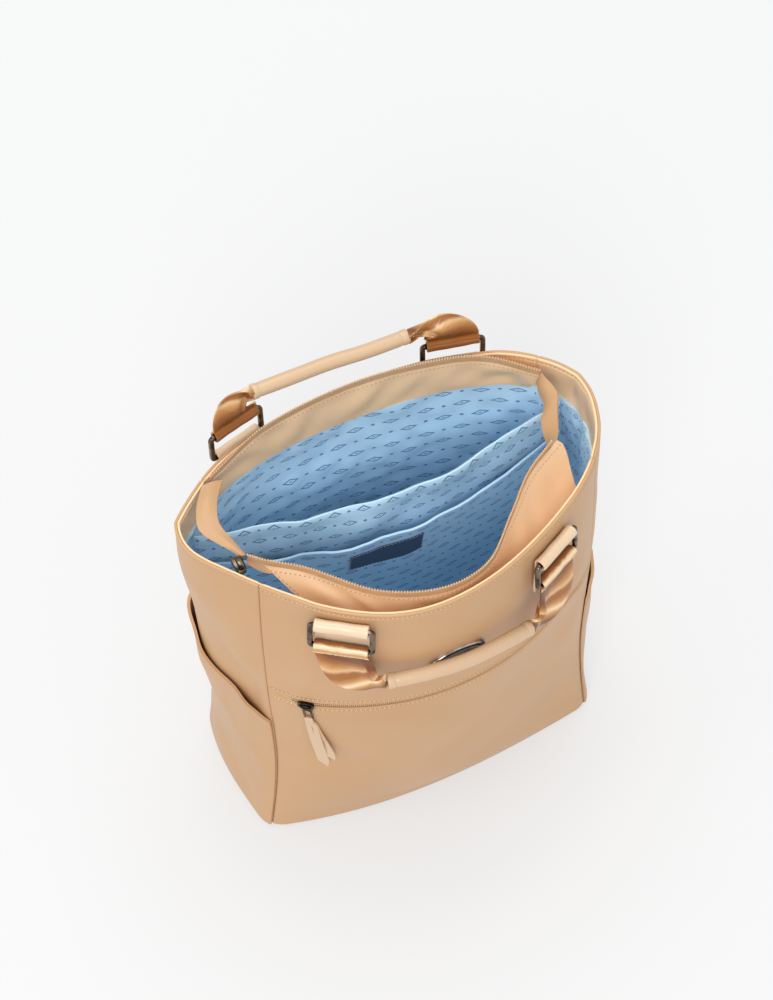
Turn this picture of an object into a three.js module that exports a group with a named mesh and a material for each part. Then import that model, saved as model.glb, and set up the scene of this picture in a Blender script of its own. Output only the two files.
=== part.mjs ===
// Convertible backpack: an open tote body of coated cloth with a light lining, a padded
// divider, two grab handles on rectangular rings and two shoulder straps behind.
// Millimetres. +Z is up, -Y is the front, +X is to the right seen from the front.
// The origin is the middle of the base, on the surface that the bag stands on.
import * as THREE from "three";

// Body
const bodyWidth = 298; // between the corner seams, across the front
const baseDepth = 130; // between the corner seams, front to back, at the base
const rimDepth = 116; // the same at the rim
const bodyHeight = 370;
const wall = 2;
const baseThickness = 4;
const liningThickness = 1;
const facingThickness = 1.6;
const rimFacingHeight = 40;
const seat = 0.3; // clearance between neighbouring pieces
const drape = 0.9; // clearance between two curved walls that lie on each other

// Mouth zip
const trackWidth = 7;
const trackThickness = 1.6;
const tailWidth = 17;
const tailThickness = 2;
const mouthSlider = { length: 16, width: 10, height: 7 };

// Inside
const dividerThickness = 5;
const dividerDrop = 44; // below the rim
const dividerFoot = 32; // how far behind the middle the divider stands on the floor
const dividerBow = 27; // how far its top edge swings forward in the middle
const slipDrop = 79; // below the rim
const slipFoot = 110;
const slipThickness = 1.2;
const slipStand = 13; // how far the slip pocket's mouth stands open
const label = { width: 60, height: 30, thickness: 0.8, across: -10, drop: 94 };

// Front pocket zip
const pocketZipHeight = 216; // at the corner seams
const pocketZipArch = 10; // rise in the middle
const pocketZipWidth = 9.4;
const pocketZipThickness = 1.2;
const pocketSlider = { across: -0.82, length: 14, width: 9, height: 5 };
const puller = { loopWidth: 8, loopLength: 16, wire: 1.6, tabWidth: 10, tabLength: 78, tabThickness: 2.4 };
const pullerLean = 8; // degrees that the puller hangs off upright, to the right

// Side pockets
const sidePocketFront = 168; // mouth height at the front seams
const sidePocketBack = 238; // mouth height at the rear seams
const sidePocketStand = 8;

// Handles
const ring = { width: 54, pitch: 26, bar: 4.5, thickness: 4, corner: 5 };
const tab = { width: 43, length: 42, thickness: 2.2 };
const webbing = { width: 43, thickness: 1.5, tail: 3.2 };
const gripDiameter = 13;
const badge = { width: 50, height: 24, thickness: 3, across: -9, drop: 84 };
const gripRise = { front: 6, back: 1 }; // in the middle, above the line between its ends

// Shoulder straps
const strapWidth = 52;
const strapThickness = 8;
const lowerStrapWidth = 25;
const lowerStrapThickness = 2;
const yoke = { width: 104, height: 46, thickness: 3, drop: 40 };
const cornerTab = { width: 30, length: 46, thickness: 3, across: 0.84, centre: 36 };
const buckle = { width: 34, height: 24, bar: 5, thickness: 4 };

const halfWidth = bodyWidth / 2;
const facingOffset = -(wall + drape);
const mouthOffset = facingOffset - facingThickness - drape - seat;
const wallFoot = baseThickness + seat;
const liningTop = bodyHeight - rimFacingHeight;
const dividerTop = bodyHeight - dividerDrop;
const slipTop = bodyHeight - slipDrop;

// How full each wall is between its seams, as a share of its span, with the corner's
// rounding as a share of the depth and the seam's inward pull as a share of the width.
const sections = [
  { height: 0.0, front: 0.057, right: 0.06, back: 0.034, left: 0.062, corner: 0.11, pull: 0.0 },
  { height: 0.16, front: 0.128, right: 0.077, back: 0.05, left: 0.092, corner: 0.12, pull: 0.018 },
  { height: 0.32, front: 0.174, right: 0.108, back: 0.065, left: 0.138, corner: 0.14, pull: 0.024 },
  { height: 0.58, front: 0.215, right: 0.138, back: 0.085, left: 0.19, corner: 0.18, pull: 0.007 },
  { height: 0.81, front: 0.235, right: 0.162, back: 0.098, left: 0.262, corner: 0.22, pull: 0.0 },
  { height: 1.0, front: 0.245, right: 0.17, back: 0.1, left: 0.31, corner: 0.26, pull: 0.0 },
];

// Walls in order round the bag, anticlockwise from above. Lean moves the fullest place
// towards the wall's far seam, and flat makes the curve squarer than a parabola.
const walls = [
  { name: "front", lean: -0.25, flat: 2 },
  { name: "right", lean: 0.35, flat: 2 },
  { name: "back", lean: 0, flat: 2.4 },
  { name: "left", lean: -0.35, flat: 2 },
];
const FRONT = 0;
const RIGHT = 1;
const BACK = 2;
const LEFT = 3;

// Upper edges of the two zip facings, left to right: places as shares of the half width
// and half rim depth, rise as a share of the rim facing's height, above the rim.
const rearMouth = [
  { across: -0.95, depth: 0.86, rise: 0.0 },
  { across: -0.6, depth: 1.22, rise: 0.18 },
  { across: -0.1, depth: 1.37, rise: 0.28 },
  { across: 0.32, depth: 1.32, rise: 0.23 },
  { across: 0.68, depth: 1.14, rise: 0.08 },
  { across: 0.93, depth: 0.64, rise: 0.0 },
];
const frontMouth = [
  { across: -0.955, depth: -0.47, rise: -0.1 },
  { across: -0.89, depth: -0.68, rise: 0.0 },
  { across: -0.72, depth: -1.0, rise: 0.0 },
  { across: -0.42, depth: -1.75, rise: 0.0 },
  { across: -0.1, depth: -2.05, rise: 0.0 },
  { across: 0.16, depth: -1.93, rise: 0.0 },
  { across: 0.4, depth: -1.35, rise: 0.0 },
  { across: 0.6, depth: -0.82, rise: 0.0 },
  { across: 0.79, depth: -0.5, rise: 0.0 },
];

// Loose ends of the mouth zip, same shares: the left one runs forward to the slider,
// the right one turns over and runs down to the front facing.
const leftTail = [
  { across: -1.01, depth: 0.79, rise: 0.0, lean: 0.1 },
  { across: -1.09, depth: 0.48, rise: 0.0, lean: 0.0 },
  { across: -1.13, depth: 0.155, rise: -0.02, lean: 0.0 },
  { across: -1.1, depth: -0.16, rise: -0.06, lean: 0.1 },
  { across: -1.06, depth: -0.38, rise: -0.12, lean: 0.3 },
];
const rightTail = [
  { across: 0.936, depth: 0.618, rise: 0.0, lean: 1.0 },
  { across: 0.965, depth: 0.27, rise: -0.05, lean: 0.8 },
  { across: 0.925, depth: 0.03, rise: -0.1, lean: 0.6 },
  { across: 0.86, depth: -0.33, rise: -0.12, lean: 0.9 },
  { across: 0.815, depth: -0.48, rise: -0.1, lean: 1.0 },
];

// Webbing from a ring's bar to the grip, as it bunches up: inward along the wall, away from
// the ring and out from the wall are shares of the ring's width, turn is in degrees.
const hangingFold = [
  { inward: 0.0, away: 0.154, out: 0.0, turn: 0, width: 1.0, round: 0.0 },
  { inward: 0.046, away: 0.26, out: 0.03, turn: 8, width: 1.0, round: 0.0 },
  { inward: 0.11, away: 0.41, out: 0.07, turn: 17, width: 1.0, round: 0.02 },
  { inward: 0.185, away: 0.56, out: 0.09, turn: 28, width: 0.97, round: 0.05 },
  { inward: 0.3, away: 0.7, out: 0.09, turn: 43, width: 0.84, round: 0.15 },
  { inward: 0.44, away: 0.79, out: 0.07, turn: 60, width: 0.6, round: 0.4 },
  { inward: 0.57, away: 0.8, out: 0.05, turn: 76, width: 0.38, round: 0.7 },
  { inward: 0.67, away: 0.78, out: 0.04, turn: 90, width: 0.27, round: 1.0 },
];
const standingFold = [
  { inward: 0.0, away: 0.154, out: 0.0, turn: 0, width: 1.0, round: 0.0 },
  { inward: -0.03, away: 0.24, out: 0.0, turn: 10, width: 0.9, round: 0.05 },
  { inward: -0.02, away: 0.34, out: 0.01, turn: 33, width: 0.8, round: 0.15 },
  { inward: 0.07, away: 0.43, out: 0.03, turn: 57, width: 0.62, round: 0.4 },
  { inward: 0.22, away: 0.44, out: 0.05, turn: 76, width: 0.4, round: 0.7 },
  { inward: 0.35, away: 0.4, out: 0.06, turn: 90, width: 0.27, round: 1.0 },
];
const lyingFold = [
  { inward: 0.0, away: 0.154, out: 0.0, turn: 0, width: 1.0, round: 0.0 },
  { inward: 0.03, away: 0.23, out: 0.0, turn: 6, width: 1.0, round: 0.0 },
  { inward: 0.1, away: 0.32, out: 0.02, turn: 22, width: 0.9, round: 0.05 },
  { inward: 0.2, away: 0.38, out: 0.04, turn: 43, width: 0.72, round: 0.2 },
  { inward: 0.36, away: 0.39, out: 0.06, turn: 65, width: 0.5, round: 0.5 },
  { inward: 0.52, away: 0.36, out: 0.05, turn: 80, width: 0.34, round: 0.8 },
  { inward: 0.67, away: 0.3, out: 0.04, turn: 90, width: 0.27, round: 1.0 },
];
const rings = [
  { name: "front_left", wall: FRONT, across: -0.65, height: 0.965, inward: 1, drop: 0.83, fold: hangingFold },
  { name: "front_right", wall: FRONT, across: 0.56, height: 0.938, inward: -1, drop: 1, fold: hangingFold },
  { name: "back_right", wall: BACK, across: -0.56, height: 0.95, inward: 1, drop: 1, fold: lyingFold },
  { name: "back_left", wall: BACK, across: 0.7, height: 0.965, inward: -1, drop: 1, fold: standingFold },
];

// Centre line of a shoulder strap from the yoke down: across as a share of the half width,
// behind in strap widths from the back wall, height as a share of the body height. The
// lower strap starts below the buckle.
const strapLine = [
  { across: 0.22, behind: 0.17, height: 0.9 },
  { across: 0.26, behind: 0.42, height: 0.84 },
  { across: 0.34, behind: 0.72, height: 0.68 },
  { across: 0.44, behind: 0.74, height: 0.5 },
  { across: 0.56, behind: 0.6, height: 0.36 },
];
const lowerLine = [
  { across: 0.7, behind: 0.36, height: 0.22 },
  { across: 0.79, behind: 0.112, height: 0.15 },
];

const shade = (color, roughness, metalness = 0) =>
  new THREE.MeshStandardMaterial({ color, roughness, metalness });
const coatedCloth = shade(0xd0a880, 0.42);
const gripCloth = shade(0xe6cda6, 0.38);
const satinLining = shade(0x93bcdc, 0.5);
const strapCloth = shade(0xc68c55, 0.45);
const gunmetal = shade(0x55504a, 0.28, 1);
const zipCoil = shade(0xa98a66, 0.5);
const labelCloth = shade(0x46525e, 0.6);

const mix = THREE.MathUtils.lerp;
const wrap = (value, span) => ((value % span) + span) % span;
const vector = (x, y, z) => new THREE.Vector3(x, y, z);

// Value of a column at a height share, on a smooth curve through the rows.
function along(rows, share, key) {
  const t = THREE.MathUtils.clamp(share, 0, 1);
  const last = rows.length - 2;
  const i = Math.min(last, Math.max(0, rows.findLastIndex((row) => row.height <= t)));
  const slope = (j) => {
    const a = rows[Math.max(0, j - 1)];
    const b = rows[Math.min(rows.length - 1, j + 1)];
    return (b[key] - a[key]) / (b.height - a.height);
  };
  const span = rows[i + 1].height - rows[i].height;
  const u = (t - rows[i].height) / span;
  const ease = u * u * (3 - 2 * u);
  const lead = u * (1 - u) * (1 - u) * span * slope(i);
  const trail = u * u * (u - 1) * span * slope(i + 1);
  return mix(rows[i][key], rows[i + 1][key], ease) + lead + trail;
}

// Corner seam i at height z: 0 front left, then anticlockwise from above.
function cornerSeam(i, z) {
  const t = z / bodyHeight;
  const x = halfWidth - along(sections, t, "pull") * bodyWidth;
  const y = mix(baseDepth, rimDepth, t) / 2;
  return new THREE.Vector2([-x, x, x, -x][i], [-y, -y, y, y][i]);
}

// A wall's full curve at height z, with v from -1 to 1 between its seams.
function wallCurve(i, v, z) {
  const from = cornerSeam(i, z);
  const to = cornerSeam((i + 1) % 4, z);
  const chord = to.clone().sub(from);
  const { name, lean, flat } = walls[i];
  const fullness = (1 - Math.abs(v) ** flat) * (1 + lean * v) * along(sections, z / bodyHeight, name);
  const outward = new THREE.Vector2(chord.y, -chord.x).multiplyScalar(fullness);
  return from.addScaledVector(chord, (v + 1) / 2).add(outward);
}

// Share of each half wall that a corner's rounding takes up.
function rounding(i, z) {
  const span = cornerSeam(i, z).distanceTo(cornerSeam((i + 1) % 4, z));
  return (2 * along(sections, z / bodyHeight, "corner") * baseDepth) / span;
}

// Outer surface at height z: place runs from 0 to 4 round the bag, one wall to a unit.
function ringPoint(place, z) {
  const i = Math.floor(wrap(place, 4));
  const v = 2 * (wrap(place, 4) - i) - 1;
  const cut = rounding(i, z);
  if (Math.abs(v) <= 1 - cut) return wallCurve(i, v, z);
  const far = v > 0;
  const before = far ? i : wrap(i - 1, 4);
  const after = wrap(before + 1, 4);
  const u = far ? (v - 1 + cut) / cut / 2 : 0.5 + (v + 1) / cut / 2;
  const start = wallCurve(before, 1 - rounding(before, z), z);
  const end = wallCurve(after, rounding(after, z) - 1, z);
  const control = cornerSeam(after, z);
  return start
    .multiplyScalar((1 - u) ** 2)
    .addScaledVector(control, 2 * u * (1 - u))
    .addScaledVector(end, u * u);
}

// A point at an offset outwards from the wall's outer surface.
function wallPoint(place, z, offset = 0) {
  const step = 0.01;
  const tangent = ringPoint(place + step, z).sub(ringPoint(place - step, z)).normalize();
  const point = ringPoint(place, z);
  return vector(point.x + tangent.y * offset, point.y - tangent.x * offset, z);
}

// Place on a wall at a share of its half width, from -1 to 1 in the wall's own direction.
const placeOn = (i, across) => i + (across + 1) / 2;

// Places that crowd together at both ends, where the corners turn.
const crowded = (from, to) => (u) => mix(from, to, 0.5 - 0.5 * Math.cos(Math.PI * u));
const columnsOf = (i) => (i % 2 ? 8 : 14);
const columnsRound = 2 * (columnsOf(FRONT) + columnsOf(RIGHT));

// Place of column k, counted round the whole bag from the front left seam.
function columnPlace(k) {
  let i = 0;
  let left = wrap(k, columnsRound);
  while (left >= columnsOf(i)) left -= columnsOf(i++);
  return crowded(i, i + 1)(left / columnsOf(i));
}
const roundPlace = (u) => columnPlace(Math.round(u * columnsRound));

// Closed solid from points and triangles, turned so that its faces point out.
function solid(points, triangles) {
  let volume = 0;
  for (const [a, b, c] of triangles)
    volume += points[a].dot(points[b].clone().cross(points[c]));
  const facing = volume < 0 ? triangles.map(([a, b, c]) => [a, c, b]) : triangles;
  const geometry = new THREE.BufferGeometry().setFromPoints(points);
  geometry.setIndex(facing.flat());
  geometry.computeVertexNormals();
  return geometry;
}

// Plate between two surfaces given by functions of u and v, both 0 to 1. A closed plate
// joins its last column to its first.
function plate(columns, rows, outer, inner, closed = false) {
  const width = closed ? columns : columns + 1;
  const points = [];
  for (const surface of [outer, inner])
    for (let i = 0; i < width; i++)
      for (let j = 0; j <= rows; j++) points.push(surface(i / columns, j / rows));
  const id = (layer, i, j) => (layer * width + (i % width)) * (rows + 1) + j;
  const triangles = [];
  const quad = (a, b, c, d) => triangles.push([a, b, c], [a, c, d]);
  for (let i = 0; i < columns; i++) {
    for (let j = 0; j < rows; j++) {
      quad(id(0, i, j), id(0, i + 1, j), id(0, i + 1, j + 1), id(0, i, j + 1));
      quad(id(1, i, j), id(1, i, j + 1), id(1, i + 1, j + 1), id(1, i + 1, j));
    }
    quad(id(1, i, 0), id(1, i + 1, 0), id(0, i + 1, 0), id(0, i, 0));
    quad(id(0, i, rows), id(0, i + 1, rows), id(1, i + 1, rows), id(1, i, rows));
  }
  if (!closed)
    for (let j = 0; j < rows; j++) {
      quad(id(0, 0, j), id(0, 0, j + 1), id(1, 0, j + 1), id(1, 0, j));
      quad(id(1, columns, j), id(1, columns, j + 1), id(0, columns, j + 1), id(0, columns, j));
    }
  return solid(points, triangles);
}

// Plate of even thickness about a surface given by a function of u and v.
function sheet(columns, rows, surface, thickness) {
  const step = 0.01;
  const shifted = (side) => (u, v) => {
    const du = surface(Math.min(1, u + step), v).sub(surface(Math.max(0, u - step), v));
    const dv = surface(u, Math.min(1, v + step)).sub(surface(u, Math.max(0, v - step)));
    const normal = du.cross(dv).normalize();
    return surface(u, v).addScaledVector(normal, (side * thickness) / 2);
  };
  return plate(columns, rows, shifted(1), shifted(-1));
}

// Solid through a row of sections with equal numbers of points, closed by flat fans.
function loft(sectionPoints) {
  const count = sectionPoints[0].length;
  const points = sectionPoints.flat();
  const triangles = [];
  for (let i = 0; i + 1 < sectionPoints.length; i++)
    for (let j = 0; j < count; j++) {
      const [a, b] = [i * count + j, i * count + ((j + 1) % count)];
      triangles.push([a, a + count, b + count], [a, b + count, b]);
    }
  const top = points.length - count;
  for (let j = 1; j + 1 < count; j++)
    triangles.push([0, j, j + 1], [top, top + j + 1, top + j]);
  return solid(points, triangles);
}

// Round bar along a curve.
function bar(curve, diameter, steps, sides) {
  const frames = curve.computeFrenetFrames(steps, false);
  const rows = [];
  for (let i = 0; i <= steps; i++) {
    const centre = curve.getPointAt(i / steps);
    rows.push(
      Array.from({ length: sides }, (_, j) => {
        const angle = (2 * Math.PI * j) / sides;
        return centre
          .clone()
          .addScaledVector(frames.normals[i], (Math.cos(angle) * diameter) / 2)
          .addScaledVector(frames.binormals[i], (Math.sin(angle) * diameter) / 2);
      }),
    );
  }
  return loft(rows);
}

const group = new THREE.Group();
function add(name, geometry, material, parent = group) {
  const mesh = new THREE.Mesh(geometry, material);
  mesh.name = name;
  parent.add(mesh);
  return mesh;
}

// Panel of the body between two heights that may vary along the wall.
function bodyPanel(name, i, low, high, rows, outer, inner, material) {
  const trim = (0.7 * seat) / (i % 2 ? baseDepth : bodyWidth);
  const place = crowded(i + trim, i + 1 - trim);
  const surface = (offset) => (u, v) => {
    const s = place(u);
    return wallPoint(s, mix(low(s), high(s), v), offset);
  };
  add(name, plate(columnsOf(i), rows, surface(outer), surface(inner)), material);
}

const level = (z) => () => z;
const pocketZipLine = (place) => {
  const v = 2 * (place - FRONT) - 1;
  return pocketZipHeight + pocketZipArch * (1 - v * v);
};

function buildBody() {
  const outline = Array.from({ length: columnsRound }, (_, k) => ringPoint(columnPlace(k), 0));
  const base = new THREE.ExtrudeGeometry(new THREE.Shape(outline), {
    depth: baseThickness,
    bevelEnabled: false,
  });
  add("base_panel", base, coatedCloth);

  const slot = pocketZipWidth / 2 + seat;
  const below = (s) => pocketZipLine(s) - slot;
  const above = (s) => pocketZipLine(s) + slot;
  bodyPanel("front_panel_lower", FRONT, level(wallFoot), below, 6, 0, -wall, coatedCloth);
  bodyPanel("front_panel_upper", FRONT, above, level(bodyHeight), 5, 0, -wall, coatedCloth);
  bodyPanel("right_panel", RIGHT, level(wallFoot), level(bodyHeight), 8, 0, -wall, coatedCloth);
  bodyPanel("back_panel", BACK, level(wallFoot), level(bodyHeight), 8, 0, -wall, coatedCloth);
  bodyPanel("left_panel", LEFT, level(wallFoot), level(bodyHeight), 8, 0, -wall, coatedCloth);

  const ribbonLow = (s) => pocketZipLine(s) - pocketZipWidth / 2;
  const ribbonHigh = (s) => pocketZipLine(s) + pocketZipWidth / 2;
  const ribbonInner = -(wall - seat) / 2 - pocketZipThickness / 2;
  const ribbonOuter = ribbonInner + pocketZipThickness;
  bodyPanel("front_pocket_zip", FRONT, ribbonLow, ribbonHigh, 1, ribbonOuter, ribbonInner, zipCoil);

  const round = (low, high, offset) => (u, v) => wallPoint(roundPlace(u), mix(low, high, v), offset);
  const liningInner = facingOffset - liningThickness;
  const facingInner = facingOffset - facingThickness;
  const liningFoot = wallFoot + liningThickness + seat;
  add(
    "lining_wall",
    plate(
      columnsRound,
      7,
      round(wallFoot, liningTop - seat, facingOffset),
      round(wallFoot, liningTop - seat, liningInner),
      true,
    ),
    satinLining,
  );
  add(
    "rim_facing",
    plate(
      columnsRound,
      2,
      round(liningTop, bodyHeight, facingOffset),
      round(liningTop, bodyHeight, facingInner),
      true,
    ),
    coatedCloth,
  );
  const floorOutline = Array.from({ length: columnsRound }, (_, k) => {
    const point = wallPoint(columnPlace(k), wallFoot, liningInner - drape);
    return new THREE.Vector2(point.x, point.y);
  });
  const floor = new THREE.ExtrudeGeometry(new THREE.Shape(floorOutline), {
    depth: liningThickness,
    bevelEnabled: false,
  });
  add("lining_floor", floor, satinLining).position.z = liningFoot - liningThickness;
}

// Point in the mouth from a row of shares.
const mouthPoint = ({ across, depth, rise }) =>
  vector(across * halfWidth, (depth * rimDepth) / 2, bodyHeight + rise * rimFacingHeight);
const curveThrough = (points) => new THREE.CatmullRomCurve3(points, false, "centripetal");

// Standing band between the rim facing's lower edge and a zip track.
function mouthBand(name, rows, i, columns) {
  const upper = curveThrough(rows.map(mouthPoint));
  const forward = i === BACK;
  const ends = forward ? [0.955, 0.02] : [0.04, 0.955];
  const surface = (u, v) => {
    const top = upper.getPoint(u);
    top.z -= trackWidth / 2 + drape;
    const place = i + mix(ends[0], ends[1], u);
    const foot = wallPoint(place, liningTop + seat, mouthOffset - facingThickness / 2);
    return foot.lerp(top, v);
  };
  add(`zip_facing_${name}`, sheet(columns, 3, surface, facingThickness), coatedCloth);
  const track = (u, v) => upper.getPoint(u).add(vector(0, 0, (v - 0.5) * trackWidth));
  add(`zip_track_${name}`, sheet(columns, 1, track, trackThickness), zipCoil);
}

// Loose zip end: a band whose width lies flat where lean is 0 and stands up where it is 1.
function zipTail(name, rows, inward) {
  const line = curveThrough(rows.map(mouthPoint));
  const leans = curveThrough(rows.map(({ lean }, k) => vector(k, lean, 0)));
  const surface = (u, v) => {
    const lean = leans.getPoint(u).y;
    const across = vector(inward * Math.sqrt(Math.max(0, 1 - lean * lean)), 0, -lean);
    return line.getPoint(u).addScaledVector(across, v * tailWidth);
  };
  add(`zip_tail_${name}`, sheet(8, 1, surface, tailThickness), coatedCloth);
}

function buildMouth() {
  mouthBand("rear", rearMouth, BACK, 20);
  mouthBand("front", frontMouth, FRONT, 20);
  zipTail("left", leftTail, 1);
  zipTail("right", rightTail, -1);
  const { length, width, height } = mouthSlider;
  const slider = add("mouth_slider", new THREE.BoxGeometry(width, length, height), gunmetal);
  const end = mouthPoint(leftTail.at(-1));
  slider.position.set(end.x + tailWidth / 2.5, end.y - length / 2 - 2 * seat, end.z);
}

// Where the inner surface of a side wall lies at a given depth and height.
function insideX(i, y, z, offset) {
  let low = i;
  let high = i + 1;
  for (let k = 0; k < 30; k++) {
    const middle = (low + high) / 2;
    const ahead = wallPoint(middle, z, offset).y < y;
    if (ahead === (i === RIGHT)) low = middle;
    else high = middle;
  }
  return wallPoint(low, z, offset).x;
}

const insideOffset = facingOffset - liningThickness - drape;
const dividerBase = wallFoot + liningThickness + 3 * seat;

// Middle surface of the divider: a from -1 to 1 across the bag.
function dividerPoint(a, z) {
  const t = (z - dividerBase) / (dividerTop - dividerBase);
  const depth = dividerFoot - dividerBow * t * (1 - Math.abs(a) ** 1.5);
  const endDepth = dividerFoot;
  const left = insideX(LEFT, endDepth, z, insideOffset - dividerThickness / 2);
  const right = insideX(RIGHT, endDepth, z, insideOffset - dividerThickness / 2);
  return vector(mix(left, right, (a + 1) / 2), depth, z);
}

// Middle surface of the slip pocket, standing off the divider towards its mouth.
function slipPoint(a, z) {
  const t = (z - slipFoot) / (slipTop - slipFoot);
  const point = dividerPoint(a * 0.99, z);
  const stand = slipStand * t * (1 - a * a) + (dividerThickness + slipThickness) / 2 + 2 * seat;
  point.y -= stand;
  return point;
}

function buildInside() {
  const divider = (u, v) => dividerPoint(2 * u - 1, mix(dividerBase, dividerTop, v));
  add("divider", sheet(12, 6, divider, dividerThickness), satinLining);
  const slip = (u, v) => slipPoint(2 * u - 1, mix(slipFoot, slipTop, v));
  add("slip_pocket", sheet(12, 4, slip, slipThickness), satinLining);
  const patch = (u, v) => {
    const a = (label.across + (u - 0.5) * label.width) / halfWidth;
    const point = slipPoint(a, bodyHeight - label.drop - (1 - v) * label.height);
    point.y -= (slipThickness + label.thickness) / 2 + seat;
    return point;
  };
  add("label_patch", sheet(6, 2, patch, label.thickness), labelCloth);
}

// Frame on a wall: e1 runs round the bag, e2 up the wall and e3 straight out.
function wallFrame(place, z) {
  const reach = 4;
  const step = 0.01;
  const e1 = wallPoint(place + step, z).sub(wallPoint(place - step, z)).normalize();
  const e2 = wallPoint(place, z + reach).sub(wallPoint(place, z - reach));
  e2.addScaledVector(e1, -e2.dot(e1)).normalize();
  return { origin: wallPoint(place, z), e1, e2, e3: e1.clone().cross(e2) };
}
const inFrame = ({ origin, e1, e2, e3 }, x, y, z) =>
  origin.clone().addScaledVector(e1, x).addScaledVector(e2, y).addScaledVector(e3, z);

// Places a mesh so that its own x, y and z run along three directions.
function lay(mesh, origin, x, y, z) {
  mesh.quaternion.setFromRotationMatrix(new THREE.Matrix4().makeBasis(x, y, z));
  mesh.position.copy(origin);
}

// Rounded rectangle about the origin.
function roundedRectangle(Outline, width, height, radius) {
  const [x, y, r] = [width / 2, height / 2, radius];
  const outline = new Outline();
  outline.moveTo(-x + r, -y);
  outline.lineTo(x - r, -y).absarc(x - r, -y + r, r, -Math.PI / 2, 0);
  outline.lineTo(x, y - r).absarc(x - r, y - r, r, 0, Math.PI / 2);
  outline.lineTo(-x + r, y).absarc(-x + r, y - r, r, Math.PI / 2, Math.PI);
  outline.lineTo(-x, -y + r).absarc(-x + r, -y + r, r, Math.PI, 1.5 * Math.PI);
  return outline;
}

// Rectangular ring lying in its own xy plane.
function ringGeometry(width, height, barWidth, thickness, corner) {
  const shape = roundedRectangle(THREE.Shape, width, height, corner);
  const hole = roundedRectangle(THREE.Path, width - 2 * barWidth, height - 2 * barWidth, corner / 10);
  shape.holes.push(hole);
  const options = { depth: thickness, bevelEnabled: false, curveSegments: 3 };
  return new THREE.ExtrudeGeometry(shape, options).translate(0, 0, -thickness / 2);
}

// Roll of cloth round a bar with a flap that leaves it along -y, as a profile to extrude:
// x is out from the wall, y is up. The bar runs through the middle of the hole.
function rollProfile(hole, cloth, flapLength, flapOut, flapThickness) {
  const radius = hole + cloth;
  const near = Math.asin(THREE.MathUtils.clamp(flapOut / radius, -1, 1));
  const far = Math.asin(THREE.MathUtils.clamp((flapOut + flapThickness) / radius, -1, 1));
  const shape = new THREE.Shape();
  shape.moveTo(flapOut, -flapLength);
  shape.lineTo(radius * Math.sin(near), -radius * Math.cos(near));
  shape.absarc(0, 0, radius, near - Math.PI / 2, far - Math.PI / 2, true);
  shape.lineTo(flapOut + flapThickness, -flapLength);
  const opening = new THREE.Path();
  opening.absarc(0, 0, hole, 0, 2 * Math.PI);
  shape.holes.push(opening);
  return shape;
}

const barHole = Math.hypot(ring.bar, ring.thickness) / 2 + seat;
const tabRadius = barHole + tab.thickness;
const rollRadius = barHole + webbing.thickness;
const tabBarOut = tabRadius + seat;
const freeBarOut = tab.thickness + rollRadius + 2 * seat;

// How far a row of webbing lies from its bar: its first row, where it leaves the roll, stays.
function folded(row, drop) {
  const first = hangingFold[0].away;
  return (first + (row.away - first) * drop) * ring.width;
}

// Section of bunched webbing: flat where round is 0 and as round as the grip where it is 1.
function webbingSection(frame, row, away, inward, start, drop) {
  const turn = THREE.MathUtils.degToRad(row.turn);
  const width = row.width * webbing.width;
  const thickness = mix(2 * webbing.thickness, gripDiameter * 0.8, row.round);
  const centre = [inward * row.inward * ring.width, start + away * folded(row, drop)];
  const out = freeBarOut + row.out * ring.width;
  const sides = 10;
  return Array.from({ length: sides }, (_, k) => {
    const angle = (2 * Math.PI * (k + 0.5)) / sides;
    const [c, s] = [Math.cos(angle), Math.sin(angle)];
    const across = (Math.sign(c) * Math.abs(c) ** 0.7 * width) / 2;
    const thick = (Math.sign(s) * Math.abs(s) ** 0.7 * thickness) / 2;
    const x = centre[0] + inward * across * Math.cos(turn);
    const y = centre[1] - away * across * Math.sin(turn);
    return inFrame(frame, x, y, out + thick);
  });
}

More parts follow.
